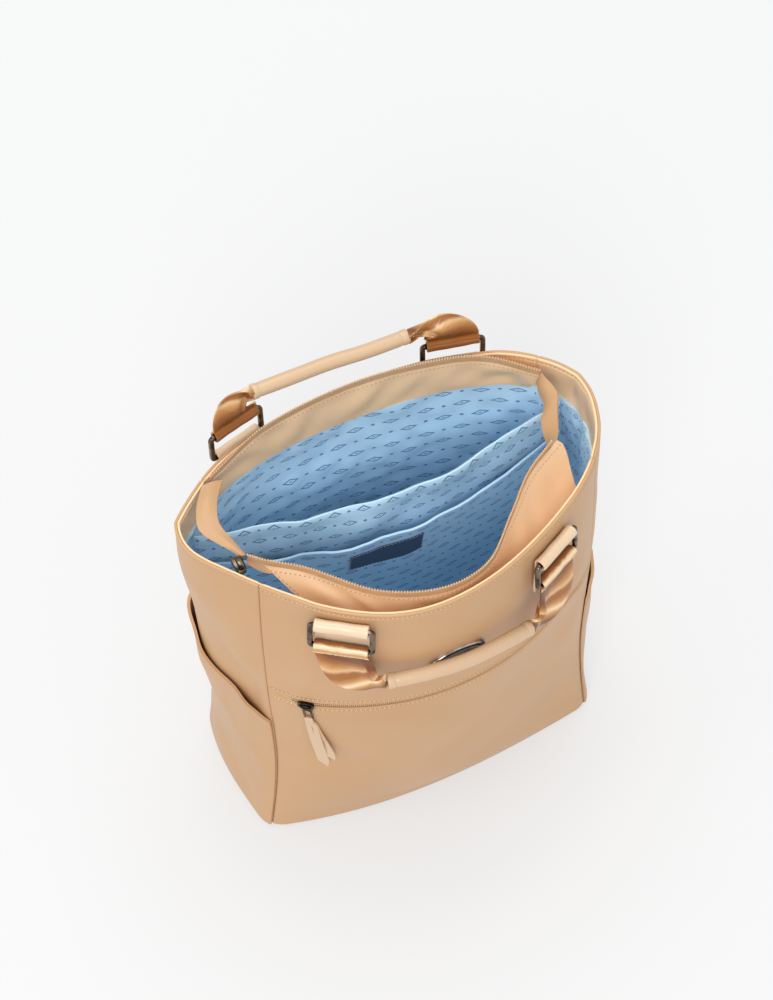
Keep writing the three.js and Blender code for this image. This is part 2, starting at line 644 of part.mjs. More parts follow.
function buildHandleEnd({ name, wall: i, across, height, inward, drop, fold }) {
  const frame = wallFrame(placeOn(i, across), height * bodyHeight);
  const { e1, e2, e3 } = frame;
  const away = i === FRONT ? -1 : 1;
  const barPitch = ring.pitch;
  const tilt = Math.asin((freeBarOut - tabBarOut) / barPitch);
  const up = e2.clone().multiplyScalar(away * Math.cos(tilt)).addScaledVector(e3, Math.sin(tilt));
  const middle = inFrame(frame, 0, 0, tabBarOut).addScaledVector(up, barPitch / 2);
  const ringMesh = add(
    `ring_${name}`,
    ringGeometry(ring.width, barPitch + ring.bar, ring.bar, ring.thickness, ring.corner),
    gunmetal,
  );
  lay(ringMesh, middle, e1, up, e1.clone().cross(up));

  const tabShape = rollProfile(barHole, tab.thickness, tab.length, -tabRadius, tab.thickness);
  const tabOptions = { depth: tab.width, bevelEnabled: false, curveSegments: 7 };
  const tabMesh = add(`ring_tab_${name}`, new THREE.ExtrudeGeometry(tabShape, tabOptions), gripCloth);
  lay(tabMesh, inFrame(frame, tab.width / 2, 0, tabBarOut), e3, e2, e1.clone().negate());

  const rollShape = rollProfile(
    barHole,
    webbing.thickness,
    rollRadius + webbing.tail,
    -webbing.thickness,
    2 * webbing.thickness,
  );
  const rollOptions = { depth: webbing.width, bevelEnabled: false, curveSegments: 7 };
  const roll = add(`webbing_loop_${name}`, new THREE.ExtrudeGeometry(rollShape, rollOptions), strapCloth);
  const freeBar = inFrame(frame, 0, away * barPitch, freeBarOut);
  const side = e1.clone().multiplyScalar(away);
  const rollUp = e2.clone().multiplyScalar(-away);
  lay(roll, freeBar.addScaledVector(side, -webbing.width / 2), e3, rollUp, side);

  const start = away * barPitch;
  const bunch = fold.map((row) => webbingSection(frame, row, away, inward, start, drop));
  add(`webbing_${name}`, loft(bunch), strapCloth);
  const last = fold.at(-1);
  const handleEnd = inFrame(
    frame,
    inward * (last.inward * ring.width + seat),
    start + away * folded(last, drop),
    freeBarOut + last.out * ring.width,
  );
  const straight = handleEnd.clone().addScaledVector(e1, (inward * gripDiameter) / 2);
  return [handleEnd, straight];
}

// Grip of rolled cloth between two handle ends, following its wall with a rise between.
function buildGrip(name, [from, fromStraight], [to, toStraight], i, rise, stand) {
  const ends = [from.x / halfWidth, to.x / halfWidth];
  const inner = [0.28, 0.5, 0.72].map((u) => {
    const x = mix(ends[0], ends[1], u);
    const place = placeOn(i, i === FRONT ? x : -x);
    const z = mix(from.z, to.z, u) + rise * (1 - (2 * u - 1) ** 2);
    return wallPoint(place, Math.min(z, bodyHeight), stand).setZ(z);
  });
  const line = curveThrough([from, fromStraight, ...inner, toStraight, to]);
  add(name, bar(line, gripDiameter, 14, 10), gripCloth);
}

function buildHandles() {
  const ends = Object.fromEntries(rings.map((row) => [row.name, buildHandleEnd(row)]));
  const overBadge = badge.thickness + gripDiameter / 2 + 3 * drape;
  buildGrip("grip_front", ends.front_left, ends.front_right, FRONT, gripRise.front, overBadge);
  buildGrip("grip_back", ends.back_left, ends.back_right, BACK, gripRise.back, gripDiameter / 2 + seat);

  const place = placeOn(FRONT, badge.across / halfWidth);
  const frame = wallFrame(place, bodyHeight - badge.drop);
  const oval = new THREE.Shape();
  oval.absellipse(0, 0, badge.width / 2, badge.height / 2, 0, 2 * Math.PI);
  const options = { depth: badge.thickness, bevelEnabled: false, curveSegments: 24 };
  const mesh = add("badge", new THREE.ExtrudeGeometry(oval, options), gunmetal);
  lay(mesh, inFrame(frame, 0, 0, seat), frame.e1, frame.e2, frame.e3);
}

function buildPocketZipPull() {
  const place = placeOn(FRONT, pocketSlider.across);
  const frame = wallFrame(place, pocketZipLine(place));
  const { length, width, height } = pocketSlider;
  const slider = add("pocket_slider", new THREE.BoxGeometry(length, width, height), gunmetal);
  lay(slider, inFrame(frame, 0, 0, height / 2 + seat), frame.e1, frame.e2, frame.e3);

  const { loopWidth, loopLength, wire, tabWidth, tabLength, tabThickness } = puller;
  const lean = THREE.MathUtils.degToRad(pullerLean);
  const hanging = {
    origin: frame.origin,
    e1: frame.e1.clone().applyAxisAngle(frame.e3, lean),
    e2: frame.e2.clone().applyAxisAngle(frame.e3, lean),
    e3: frame.e3,
  };
  const loop = ringGeometry(loopWidth, loopLength, wire, wire, loopWidth / 2.5);
  const hang = -(width / 2 + 2 * seat + loopLength / 2);
  const loopMesh = add("pull_loop", loop, gunmetal);
  lay(loopMesh, inFrame(hanging, 0, hang, height / 2 + seat), hanging.e1, hanging.e2, hanging.e3);

  const top = hang - loopLength / 2 - seat;
  const outline = new THREE.Shape();
  outline.moveTo(-tabWidth / 3, 0).lineTo(tabWidth / 3, 0).lineTo(tabWidth / 2, -tabWidth);
  outline.lineTo(tabWidth / 2, tabWidth - tabLength).lineTo(tabWidth / 4, -tabLength);
  outline.lineTo(-tabWidth / 2, tabWidth - tabLength).lineTo(-tabWidth / 2, -tabWidth);
  outline.closePath();
  const options = { depth: tabThickness, bevelEnabled: false };
  const tabMesh = add("pull_tab", new THREE.ExtrudeGeometry(outline, options), gripCloth);
  lay(tabMesh, inFrame(hanging, 0, top, seat * 2), hanging.e1, hanging.e2, hanging.e3);
}

function buildSidePocket(name, i) {
  const toBack = (place) => (i === RIGHT ? place - i : i + 1 - place);
  const mouth = (place) => mix(sidePocketFront, sidePocketBack, toBack(place));
  const trim = (2 * seat) / baseDepth;
  const place = crowded(i + trim, i + 1 - trim);
  const surface = (offset) => (u, v) => {
    const s = place(u);
    const across = 2 * (s - i) - 1;
    const stand = sidePocketStand * v * (1 - across * across) + offset;
    return wallPoint(s, mix(wallFoot, mouth(s), v), stand);
  };
  add(name, plate(columnsOf(i), 5, surface(drape + wall), surface(drape)), coatedCloth);
}

// Point behind the back wall from a row of shares.
function behindPoint({ across, behind, height }, side) {
  const z = height * bodyHeight;
  const place = placeOn(BACK, -side * across);
  const back = wallPoint(place, z);
  return vector(side * across * halfWidth, back.y + behind * strapWidth, z);
}

function backPlate(name, frame, width, height, thickness) {
  const shape = roundedRectangle(THREE.Shape, width, height, height / 6);
  const options = { depth: thickness, bevelEnabled: false, curveSegments: 2 };
  const mesh = add(name, new THREE.ExtrudeGeometry(shape, options), coatedCloth);
  lay(mesh, inFrame(frame, 0, 0, drape), frame.e1, frame.e2, frame.e3);
}

function buildStraps() {
  const yokeFrame = wallFrame(placeOn(BACK, 0), bodyHeight - yoke.drop);
  backPlate("strap_yoke", yokeFrame, yoke.width, yoke.height, yoke.thickness);
  for (const [name, side] of [["left", -1], ["right", 1]]) {
    const strap = curveThrough(strapLine.map((row) => behindPoint(row, side)));
    const pad = (u, v) => strap.getPoint(u).add(vector((v - 0.5) * strapWidth, 0, 0));
    add(`shoulder_strap_${name}`, sheet(16, 2, pad, strapThickness), coatedCloth);
    const end = strap.getPoint(1);
    const down = strap.getTangent(1).setX(0).normalize();
    const start = end.clone().addScaledVector(down, buckle.height + 3 * seat);
    const lower = curveThrough([start, ...lowerLine.map((row) => behindPoint(row, side))]);
    const web = (u, v) => lower.getPoint(u).add(vector((v - 0.5) * lowerStrapWidth, 0, 0));
    add(`lower_strap_${name}`, sheet(8, 1, web, lowerStrapThickness), strapCloth);
    const frame = wallFrame(placeOn(BACK, -side * cornerTab.across), cornerTab.centre);
    const { width, length, thickness } = cornerTab;
    backPlate(`strap_tab_${name}`, frame, width, length, thickness);
    const buckleMesh = add(
      `strap_buckle_${name}`,
      ringGeometry(buckle.width, buckle.height, buckle.bar, buckle.thickness, buckle.bar),
      gunmetal,
    );
    const middle = end.addScaledVector(down, buckle.height / 2 + seat);
    const sideways = vector(1, 0, 0);
    lay(buckleMesh, middle, sideways, down, sideways.clone().cross(down));
  }
}

buildBody();
buildMouth();
buildInside();
buildHandles();
buildPocketZipPull();
buildSidePocket("side_pocket_left", LEFT);
buildSidePocket("side_pocket_right", RIGHT);
buildStraps();

export default group;
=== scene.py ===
"""Looks of a convertible tote backpack of tan coated cloth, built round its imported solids.

Metres. +Z is up, -Y is the front and +X is to the right seen from the front.
"""

from __future__ import annotations

import logging
import math
from dataclasses import dataclass, field
from enum import Enum
from typing import Callable, ClassVar, Optional, Sequence

import bmesh
import bpy
import numpy as np
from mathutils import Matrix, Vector


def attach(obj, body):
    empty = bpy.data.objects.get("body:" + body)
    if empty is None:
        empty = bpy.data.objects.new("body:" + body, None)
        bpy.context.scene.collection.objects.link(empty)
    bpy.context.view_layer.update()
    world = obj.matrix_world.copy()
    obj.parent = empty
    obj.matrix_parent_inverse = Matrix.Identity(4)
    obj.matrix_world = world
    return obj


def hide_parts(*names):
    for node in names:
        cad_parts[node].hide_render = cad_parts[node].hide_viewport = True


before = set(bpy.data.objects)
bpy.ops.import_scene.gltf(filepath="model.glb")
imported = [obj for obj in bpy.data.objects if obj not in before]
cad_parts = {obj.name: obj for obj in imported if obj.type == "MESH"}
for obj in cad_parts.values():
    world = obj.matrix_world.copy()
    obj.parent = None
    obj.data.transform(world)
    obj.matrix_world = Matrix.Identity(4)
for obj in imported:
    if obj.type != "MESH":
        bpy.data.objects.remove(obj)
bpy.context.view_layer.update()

LOG = logging.getLogger("backpack")
Array = np.ndarray
Rgb = tuple[float, float, float]
Piece = bpy.types.Object
Finish = bpy.types.Material
ROOT = "root"
SHARP = math.radians(48)


class Wall(Enum):
    """The walls in order round the bag, anticlockwise from above."""

    FRONT = 0
    RIGHT = 1
    BACK = 2
    LEFT = 3


class Slot(Enum):
    """Material slots of the record."""

    CLOTH = "coated_cloth"
    GRIP = "grip_cloth"
    LINING = "satin_lining"
    STRAP = "strap_cloth"
    METAL = "gunmetal"
    COIL = "zip_coil"
    LABEL = "label_cloth"


def mix(low: Array | float, high: Array | float, share: Array | float) -> Array | float:
    """Value between low and high at a share from 0 to 1."""
    return low + (high - low) * share


def bell(x: Array | float, width: float) -> Array:
    """Smooth bump of height 1 at 0 that fades over a width."""
    return np.exp(-((np.asarray(x) / width) ** 2))


def step_up(x: Array | float, low: float, high: float) -> Array:
    """Smooth step from 0 at low to 1 at high."""
    t = np.clip((np.asarray(x) - low) / (high - low), 0.0, 1.0)
    return t * t * (3 - 2 * t)


def unit(vectors: Array) -> Array:
    """Vectors scaled to length 1 along their last axis."""
    length = np.linalg.norm(vectors, axis=-1, keepdims=True)
    return vectors / np.maximum(length, 1e-12)


class SoftNoise:
    """Smooth repeatable noise of two variables, about -1 to 1."""

    def __init__(self, seed: int, wavelength: float, waves: int = 18) -> None:
        """Draw the waves.

        Args:
            seed: Seed of the random directions and phases.
            wavelength: Typical distance between crests, in metres.
            waves: Number of waves that are summed.
        """
        random = np.random.RandomState(seed)
        angle = random.uniform(0, 2 * math.pi, waves)
        number = 2 * math.pi / wavelength * random.uniform(0.6, 1.5, waves)
        self.across = number * np.cos(angle)
        self.up = number * np.sin(angle)
        self.phase = random.uniform(0, 2 * math.pi, waves)
        self.gain = 1.4 / math.sqrt(waves)

    def __call__(self, x: Array, y: Array) -> Array:
        """Noise at x and y, arrays of one shape."""
        x, y = np.broadcast_arrays(np.asarray(x, float), np.asarray(y, float))
        total = np.zeros(x.shape)
        for a, b, c in zip(self.across, self.up, self.phase):
            total += np.sin(a * x + b * y + c)
        return self.gain * total


class SmoothCurve:
    """Centripetal Catmull-Rom curve through points."""

    def __init__(self, points: Sequence[Sequence[float]]) -> None:
        """Keep the points and one more beyond each end."""
        p = np.asarray(points, float)
        self.points = np.vstack([2 * p[0] - p[1], p, 2 * p[-1] - p[-2]])
        self.spans = len(p) - 1

    def __call__(self, share: Array | float) -> Array:
        """Points at shares from 0 to 1, equal shares for each span."""
        t = np.atleast_1d(np.asarray(share, float)) * self.spans
        i = np.clip(np.floor(t).astype(int), 0, self.spans - 1)
        w = (t - i)[:, None]
        p0, p1, p2, p3 = (self.points[i + k] for k in range(4))
        d0, d1, d2 = (
            np.maximum(np.linalg.norm(b - a, axis=1, keepdims=True), 1e-9) ** 0.5
            for a, b in ((p0, p1), (p1, p2), (p2, p3))
        )
        lead = ((p1 - p0) / d0 - (p2 - p0) / (d0 + d1) + (p2 - p1) / d1) * d1
        trail = ((p2 - p1) / d1 - (p3 - p1) / (d1 + d2) + (p3 - p2) / d2) * d1
        cubic = 2 * (p1 - p2) + lead + trail
        square = 3 * (p2 - p1) - 2 * lead - trail
        return p1 + w * (lead + w * (square + w * cubic))

    def evenly(self, count: int) -> Array:
        """Count points evenly spaced along the curve."""
        return respaced(self(np.linspace(0, 1, 400)), count)


def respaced(line: Array, count: int) -> Array:
    """A polyline's points replaced by count evenly spaced ones."""
    run = run_length(line)
    return at_runs(line, run, np.linspace(0, run[-1], count))


def at_runs(line: Array, run: Array, at: Array) -> Array:
    """Points of a polyline, whose points lie at run, at other distances along it."""
    return np.stack([np.interp(at, run, line[:, k]) for k in range(line.shape[1])], axis=1)


def run_length(line: Array) -> Array:
    """Distance along a polyline at each of its points."""
    step = np.linalg.norm(np.diff(line, axis=0), axis=1)
    return np.concatenate([[0.0], np.cumsum(step)])


def lengthwise(line: Array) -> Array:
    """Unit tangents of a polyline."""
    return unit(np.gradient(line, axis=0))


def copies(vector: Array, count: int) -> Array:
    """A vector as each of a number of rows."""
    return np.repeat(np.asarray(vector)[None, :], count, axis=0)


@dataclass(frozen=True)
class BagForm:
    """The bag's outer surface: sizes, sections and points on its walls."""

    width: float = 0.298
    base_depth: float = 0.130
    rim_depth: float = 0.116
    height: float = 0.370
    wall: float = 0.002
    drape: float = 0.0009
    seat: float = 0.0003
    lining: float = 0.001
    facing: float = 0.0016
    rim_facing_height: float = 0.040
    zip_height: float = 0.216
    zip_arch: float = 0.010
    lean: tuple[float, ...] = (-0.25, 0.35, 0.0, -0.35)
    flat: tuple[float, ...] = (2.0, 2.0, 2.4, 2.0)
    columns: tuple[str, ...] = ("height", "front", "right", "back", "left", "corner", "pull")
    sections: tuple[tuple[float, ...], ...] = (
        (0.0, 0.057, 0.06, 0.034, 0.062, 0.11, 0.0),
        (0.16, 0.128, 0.077, 0.05, 0.092, 0.12, 0.018),
        (0.32, 0.174, 0.108, 0.065, 0.138, 0.14, 0.024),
        (0.58, 0.215, 0.138, 0.085, 0.19, 0.18, 0.007),
        (0.81, 0.235, 0.162, 0.098, 0.262, 0.22, 0.0),
        (1.0, 0.245, 0.17, 0.1, 0.31, 0.26, 0.0),
    )

    def zip_line(self, place: Array) -> Array:
        """Height of the front pocket zip's middle."""
        v = 2 * (np.asarray(place) - Wall.FRONT.value) - 1
        return self.zip_height + self.zip_arch * (1 - v * v)

    @property
    def facing_offset(self) -> float:
        """Offset of the rim facing's outer side."""
        return -(self.wall + self.drape)

    @property
    def lining_top(self) -> float:
        """Height where the lining meets the rim facing."""
        return self.height - self.rim_facing_height

    def along(self, share: Array, column: str) -> Array:
        """Value of a section column at height shares, on a smooth curve through the rows."""
        table = np.array(self.sections)
        h = table[:, 0]
        y = table[:, self.columns.index(column)]
        last = len(h) - 1
        back = np.maximum(np.arange(last + 1) - 1, 0)
        ahead = np.minimum(np.arange(last + 1) + 1, last)
        slope = (y[ahead] - y[back]) / (h[ahead] - h[back])
        t = np.clip(np.asarray(share, float), 0, 1)
        i = np.clip(np.searchsorted(h, t, side="right") - 1, 0, last - 1)
        span = h[i + 1] - h[i]
        u = (t - h[i]) / span
        ease = u * u * (3 - 2 * u)
        lead = u * (1 - u) ** 2 * span * slope[i]
        trail = u * u * (u - 1) * span * slope[i + 1]
        return mix(y[i], y[i + 1], ease) + lead + trail

    def seam(self, i: int, z: Array) -> Array:
        """Corner seam i at heights z, as x and y in the last axis."""
        t = np.asarray(z, float) / self.height
        x = self.width / 2 - self.along(t, "pull") * self.width
        y = mix(self.base_depth, self.rim_depth, t) / 2
        side = (-1, 1, 1, -1)[i % 4]
        ahead = (-1, -1, 1, 1)[i % 4]
        return np.stack([side * x, ahead * y], axis=-1)

    def wall_curve(self, i: int, v: Array, z: Array) -> Array:
        """Full curve of wall i at heights z, v from -1 to 1 between its seams."""
        start, end = self.seam(i, z), self.seam(i + 1, z)
        chord = end - start
        name = self.columns[1 + i]
        share = np.asarray(z, float) / self.height
        fullness = (1 - np.abs(v) ** self.flat[i]) * (1 + self.lean[i] * v)
        fullness = fullness * self.along(share, name)
        out = np.stack([chord[..., 1], -chord[..., 0]], axis=-1)
        return start + chord * ((v + 1) / 2)[..., None] + out * fullness[..., None]

    def rounding(self, i: int, z: Array) -> Array:
        """Share of each half of wall i that a corner's rounding takes up."""
        span = np.linalg.norm(self.seam(i + 1, z) - self.seam(i, z), axis=-1)
        corner = self.along(np.asarray(z, float) / self.height, "corner")
        return 2 * corner * self.base_depth / span

    def ring_point(self, place: Array, z: Array) -> Array:
        """Outer surface in plan: place runs from 0 to 4 round the bag, one wall to a unit."""
        place, z = np.broadcast_arrays(np.asarray(place, float) % 4, np.asarray(z, float))
        wall_of = np.minimum(np.floor(place).astype(int), 3)
        result = np.zeros(place.shape + (2,))
        for i in range(4):
            here = wall_of == i
            if not here.any():
                continue
            v, h = 2 * (place[here] - i) - 1, z[here]
            cut = self.rounding(i, h)
            points = self.wall_curve(i, v, h)
            for far in (True, False):
                turn = (v > 1 - cut) if far else (v < cut - 1)
                if not turn.any():
                    continue
                before = i if far else (i - 1) % 4
                after = (before + 1) % 4
                hh, vv, cc = h[turn], v[turn], cut[turn]
                u = (vv - 1 + cc) / cc / 2 if far else 0.5 + (vv + 1) / cc / 2
                u = u[:, None]
                start = self.wall_curve(before, 1 - self.rounding(before, hh), hh)
                end = self.wall_curve(after, self.rounding(after, hh) - 1, hh)
                corner = self.seam(after, hh)
                points[turn] = start * (1 - u) ** 2 + corner * 2 * u * (1 - u) + end * u * u
            result[here] = points
        return result

    def point(self, place: Array, z: Array, offset: Array | float = 0.0) -> Array:
        """Points at offsets outwards from the walls' outer surface."""
        place, z, offset = np.broadcast_arrays(
            np.asarray(place, float), np.asarray(z, float), np.asarray(offset, float)
        )
        step = 0.01
        tangent = unit(self.ring_point(place + step, z) - self.ring_point(place - step, z))
        plan = self.ring_point(place, z)
        x = plan[..., 0] + tangent[..., 1] * offset
        y = plan[..., 1] - tangent[..., 0] * offset
        return np.stack([x, y, z], axis=-1)

    def on(self, wall: Wall, across: float) -> float:
        """Place on a wall at a share of its half width, in the wall's own direction."""
        return wall.value + (across + 1) / 2

    def frame(self, place: float, z: float) -> "LocalFrame":
        """Frame on a wall: e1 runs round the bag, e2 up the wall and e3 straight out."""
        reach, step = 0.004, 0.01
        e1 = unit((self.point(place + step, z) - self.point(place - step, z)))
        e2 = self.point(place, z + reach) - self.point(place, z - reach)
        e2 = unit(e2 - e1 * np.dot(e2, e1))
        return LocalFrame(self.point(place, z), e1, e2, np.cross(e1, e2))

    def inside_x(self, wall: Wall, y: float, z: float, offset: float) -> float:
        """Where the inner surface of a side wall lies at a depth and height."""
        place = np.linspace(wall.value, wall.value + 1, 160)
        line = self.point(place, z, offset)
        order = np.argsort(line[:, 1])
        return float(np.interp(y, line[order, 1], line[order, 0]))


@dataclass(frozen=True)
class LocalFrame:
    """Origin and three directions."""

    origin: Array
    e1: Array
    e2: Array
    e3: Array

    def at(self, x: Array | float, y: Array | float, z: Array | float) -> Array:
        """World points of local x, y and z."""
        x, y, z = (np.asarray(v, float)[..., None] for v in (x, y, z))
        return self.origin + x * self.e1 + y * self.e2 + z * self.e3

    def turned(self, angle: float) -> "LocalFrame":
        """The frame turned about e3 by an angle in radians."""
        c, s = math.cos(angle), math.sin(angle)
        e1, e2 = c * self.e1 + s * self.e2, c * self.e2 - s * self.e1
        return LocalFrame(self.origin, e1, e2, self.e3)

    def moved(self, origin: Array) -> "LocalFrame":
        """The same directions at another origin."""
        return LocalFrame(origin, self.e1, self.e2, self.e3)


def new_mesh(
    name: str, points: Array, quads: Array, uv: Array, extra: Sequence = ()
) -> bpy.types.Mesh:
    """Mesh from quads and a few more faces.

    Args:
        name: Name of the mesh.
        points: Vertices, one row each.
        quads: Vertex numbers of the four-sided faces.
        uv: Texture coordinates of each vertex, in metres.
        extra: More faces, each a list of vertex numbers.

    Returns:
        The new mesh, smooth, with its texture coordinates.
    """
    faces = [list(map(int, q)) for q in quads] + [list(map(int, f)) for f in extra]
    mesh = bpy.data.meshes.new(name)
    mesh.from_pydata(points.tolist(), [], faces)
    layer = mesh.uv_layers.new(name="UVMap")
    index = np.zeros(len(mesh.loops), np.int32)
    mesh.loops.foreach_get("vertex_index", index)
    layer.data.foreach_set("uv", np.asarray(uv, float)[index].ravel())
    mesh.shade_smooth()
    mesh.set_sharp_from_angle(angle=SHARP)
    return mesh


def add_piece(mesh: bpy.types.Mesh, material: Finish) -> Piece:
    """An object at the origin with a mesh and a material."""
    mesh.materials.append(material)
    piece = bpy.data.objects.new(mesh.name, mesh)
    bpy.context.scene.collection.objects.link(piece)
    return piece


def quads_of(columns: int, rows: int, closed: bool = False, start: int = 0) -> Array:
    """Faces of a grid whose vertices are stored column by column."""
    i = np.arange(columns if closed else columns - 1)
    j = np.arange(rows - 1)
    a, b = np.meshgrid(i, j, indexing="ij")
    after = (a + 1) % columns
    corners = [a * rows + b, after * rows + b, after * rows + b + 1, a * rows + b + 1]
    return np.stack(corners, axis=-1).reshape(-1, 4) + start


def cloth_grid(
    name: str,
    face: Array,
    back: Array,
    uv: Array,
    material: Finish,
    closed: bool = False,
) -> Piece:
    """Closed sheet between a face and a back, both grids of columns by rows.

    Args:
        name: Name of the piece.
        face: Points of the side that shows.
        back: Points of the other side.
        uv: Texture coordinates of the grid, in metres.
        material: Finish of the piece.
        closed: Whether the last column joins the first.

    Returns:
        The finished piece.
    """
    columns, rows = face.shape[:2]
    size = columns * rows
    points = np.vstack([face.reshape(-1, 3), back.reshape(-1, 3)])
    front = quads_of(columns, rows, closed)
    rear = quads_of(columns, rows, closed, size)[:, ::-1]
    number = np.arange(size).reshape(columns, rows)
    rims = []
    edges = [(number[:, 0], False), (number[:, -1], True)]
    if not closed:
        edges += [(number[0, :], True), (number[-1, :], False)]
    for line, turned in edges:
        nxt = np.roll(line, -1) if closed else line[1:]
        now = line if closed else line[:-1]
        quad = np.stack([now, now + size, nxt + size, nxt], axis=-1)
        rims.append(quad[:, ::-1] if turned else quad)
    quads = np.vstack([front, rear, *rims])
    middle = (columns // 2, rows // 2)
    du = face[middle[0] + 1, middle[1]] - face[middle[0] - 1, middle[1]]
    dv = face[middle[0], middle[1] + 1] - face[middle[0], middle[1] - 1]
    outward = face[middle] - back[middle]
    if np.dot(np.cross(du, dv), outward) < 0:
        quads = quads[:, ::-1]
    flat_uv = np.vstack([uv.reshape(-1, 2)] * 2)
    return add_piece(new_mesh(name, points, quads, flat_uv), material)


def grid_normals(points: Array, closed: bool = False) -> Array:
    """Unit normals of a grid of points."""
    if closed:
        du = np.roll(points, -1, axis=0) - np.roll(points, 1, axis=0)
    else:
        du = np.gradient(points, axis=0)
    return unit(np.cross(du, np.gradient(points, axis=1)))


def grid_uv(points: Array) -> Array:
    """Texture coordinates in metres: mean run along the columns and the rows."""
    du = np.linalg.norm(np.diff(points, axis=0), axis=-1).mean(axis=1)
    dv = np.linalg.norm(np.diff(points, axis=1), axis=-1).mean(axis=0)
    u = np.concatenate([[0], np.cumsum(du)])
    v = np.concatenate([[0], np.cumsum(dv)])
    return np.stack(np.meshgrid(u, v, indexing="ij"), axis=-1)


def even_sheet(
    name: str,
    middle: Array,
    thickness: Array | float,
    material: Finish,
    uv: Optional[Array] = None,
) -> Piece:
    """Sheet about a middle surface; its thickness may vary over the grid."""
    half = np.broadcast_to(np.asarray(thickness, float) / 2, middle.shape[:2])[..., None]
    normal = grid_normals(middle)
    uv = grid_uv(middle) if uv is None else uv
    return cloth_grid(name, middle + normal * half, middle - normal * half, uv, material)


def tube(
    name: str, rings: Array, material: Finish, closed: bool = False
) -> Piece:
    """Skin over a row of closed sections, with rounded flat ends unless it closes on itself.

    Args:
        name: Name of the piece.
        rings: Sections by points by 3.
        material: Finish of the piece.
        closed: Whether the last section joins the first.

    Returns:
        The finished piece.
    """
    count, around = rings.shape[:2]
    seam = np.concatenate([rings, rings[:, :1]], axis=1)
    lengths = np.linalg.norm(np.diff(seam, axis=1), axis=-1).mean(axis=0)
    along = run_length(rings.mean(axis=1))
    u = np.concatenate([[0], np.cumsum(lengths)])
    uv = np.stack(np.meshgrid(along, u, indexing="ij"), axis=-1)
    points = seam.reshape(-1, 3)
    quads = quads_of(count, around + 1, closed)
    extra = []
    if not closed:
        first = list(range(around))
        last = [(count - 1) * (around + 1) + k for k in range(around)]
        extra = [first, last[::-1]]
    flip = np.dot(
        np.cross(rings[1, 0] - rings[0, 0], rings[0, 1] - rings[0, 0]),
        rings[0, 0] - rings[0].mean(axis=0),
    )
    if flip < 0:
        quads = quads[:, ::-1]
        extra = [f[::-1] for f in extra]
    mesh = new_mesh(name, points, quads, uv.reshape(-1, 2), extra)
    weld(mesh)
    return add_piece(mesh, material)


def keep_plain(piece: Piece) -> None:
    """Make a piece's evaluated mesh its own and drop its modifiers."""
    bpy.context.view_layer.update()
    ready = piece.evaluated_get(bpy.context.evaluated_depsgraph_get())
    plain, old = bpy.data.meshes.new_from_object(ready), piece.data
    piece.modifiers.clear()
    piece.data = plain
    bpy.data.meshes.remove(old)
    plain.name = piece.name


def weld(mesh: bpy.types.Mesh) -> None:
    """Join vertices that lie on each other."""
    work = bmesh.new()
    work.from_mesh(mesh)
    bmesh.ops.remove_doubles(work, verts=work.verts, dist=1e-6)
    work.to_mesh(mesh)
    work.free()


def sections_along(line: Array, side: Array, profile: Callable[[float], Array]) -> Array:
    """Sections of a sweep along a line.

    Args:
        line: Centre points of the sections.
        side: Rough direction of each section's own x.
        profile: Local x and y of a section at a share of the line.

    Returns:
        Sections by points by 3.
    """
    tangent = lengthwise(line)
    across = unit(side - tangent * np.sum(side * tangent, axis=1, keepdims=True))
    up = np.cross(tangent, across)
    rings = []
    for k, centre in enumerate(line):
        local = profile(k / (len(line) - 1))
        rings.append(centre + local[:, :1] * across[k] + local[:, 1:2] * up[k])
    return np.array(rings)


def oval(width: float, height: float, count: int, power: float = 1.0) -> Array:
    """Closed outline from an ellipse, power 1, to a soft rectangle, power below 1."""
    a = 2 * math.pi * (np.arange(count) + 0.5) / count
    x = np.sign(np.cos(a)) * np.abs(np.cos(a)) ** power * width / 2
    y = np.sign(np.sin(a)) * np.abs(np.sin(a)) ** power * height / 2
    return np.stack([x, y], axis=-1)


def rounded_rectangle(width: float, height: float, radius: float, arc: int = 6) -> Array:
    """Closed outline of a rectangle with round corners, anticlockwise."""
    points = []
    for k, (sx, sy) in enumerate(((1, -1), (1, 1), (-1, 1), (-1, -1))):
        centre = (sx * (width / 2 - radius), sy * (height / 2 - radius))
        for a in np.linspace(-math.pi / 2, 0, arc) + k * math.pi / 2:
            points.append((centre[0] + radius * math.cos(a), centre[1] + radius * math.sin(a)))
    return np.array(points)


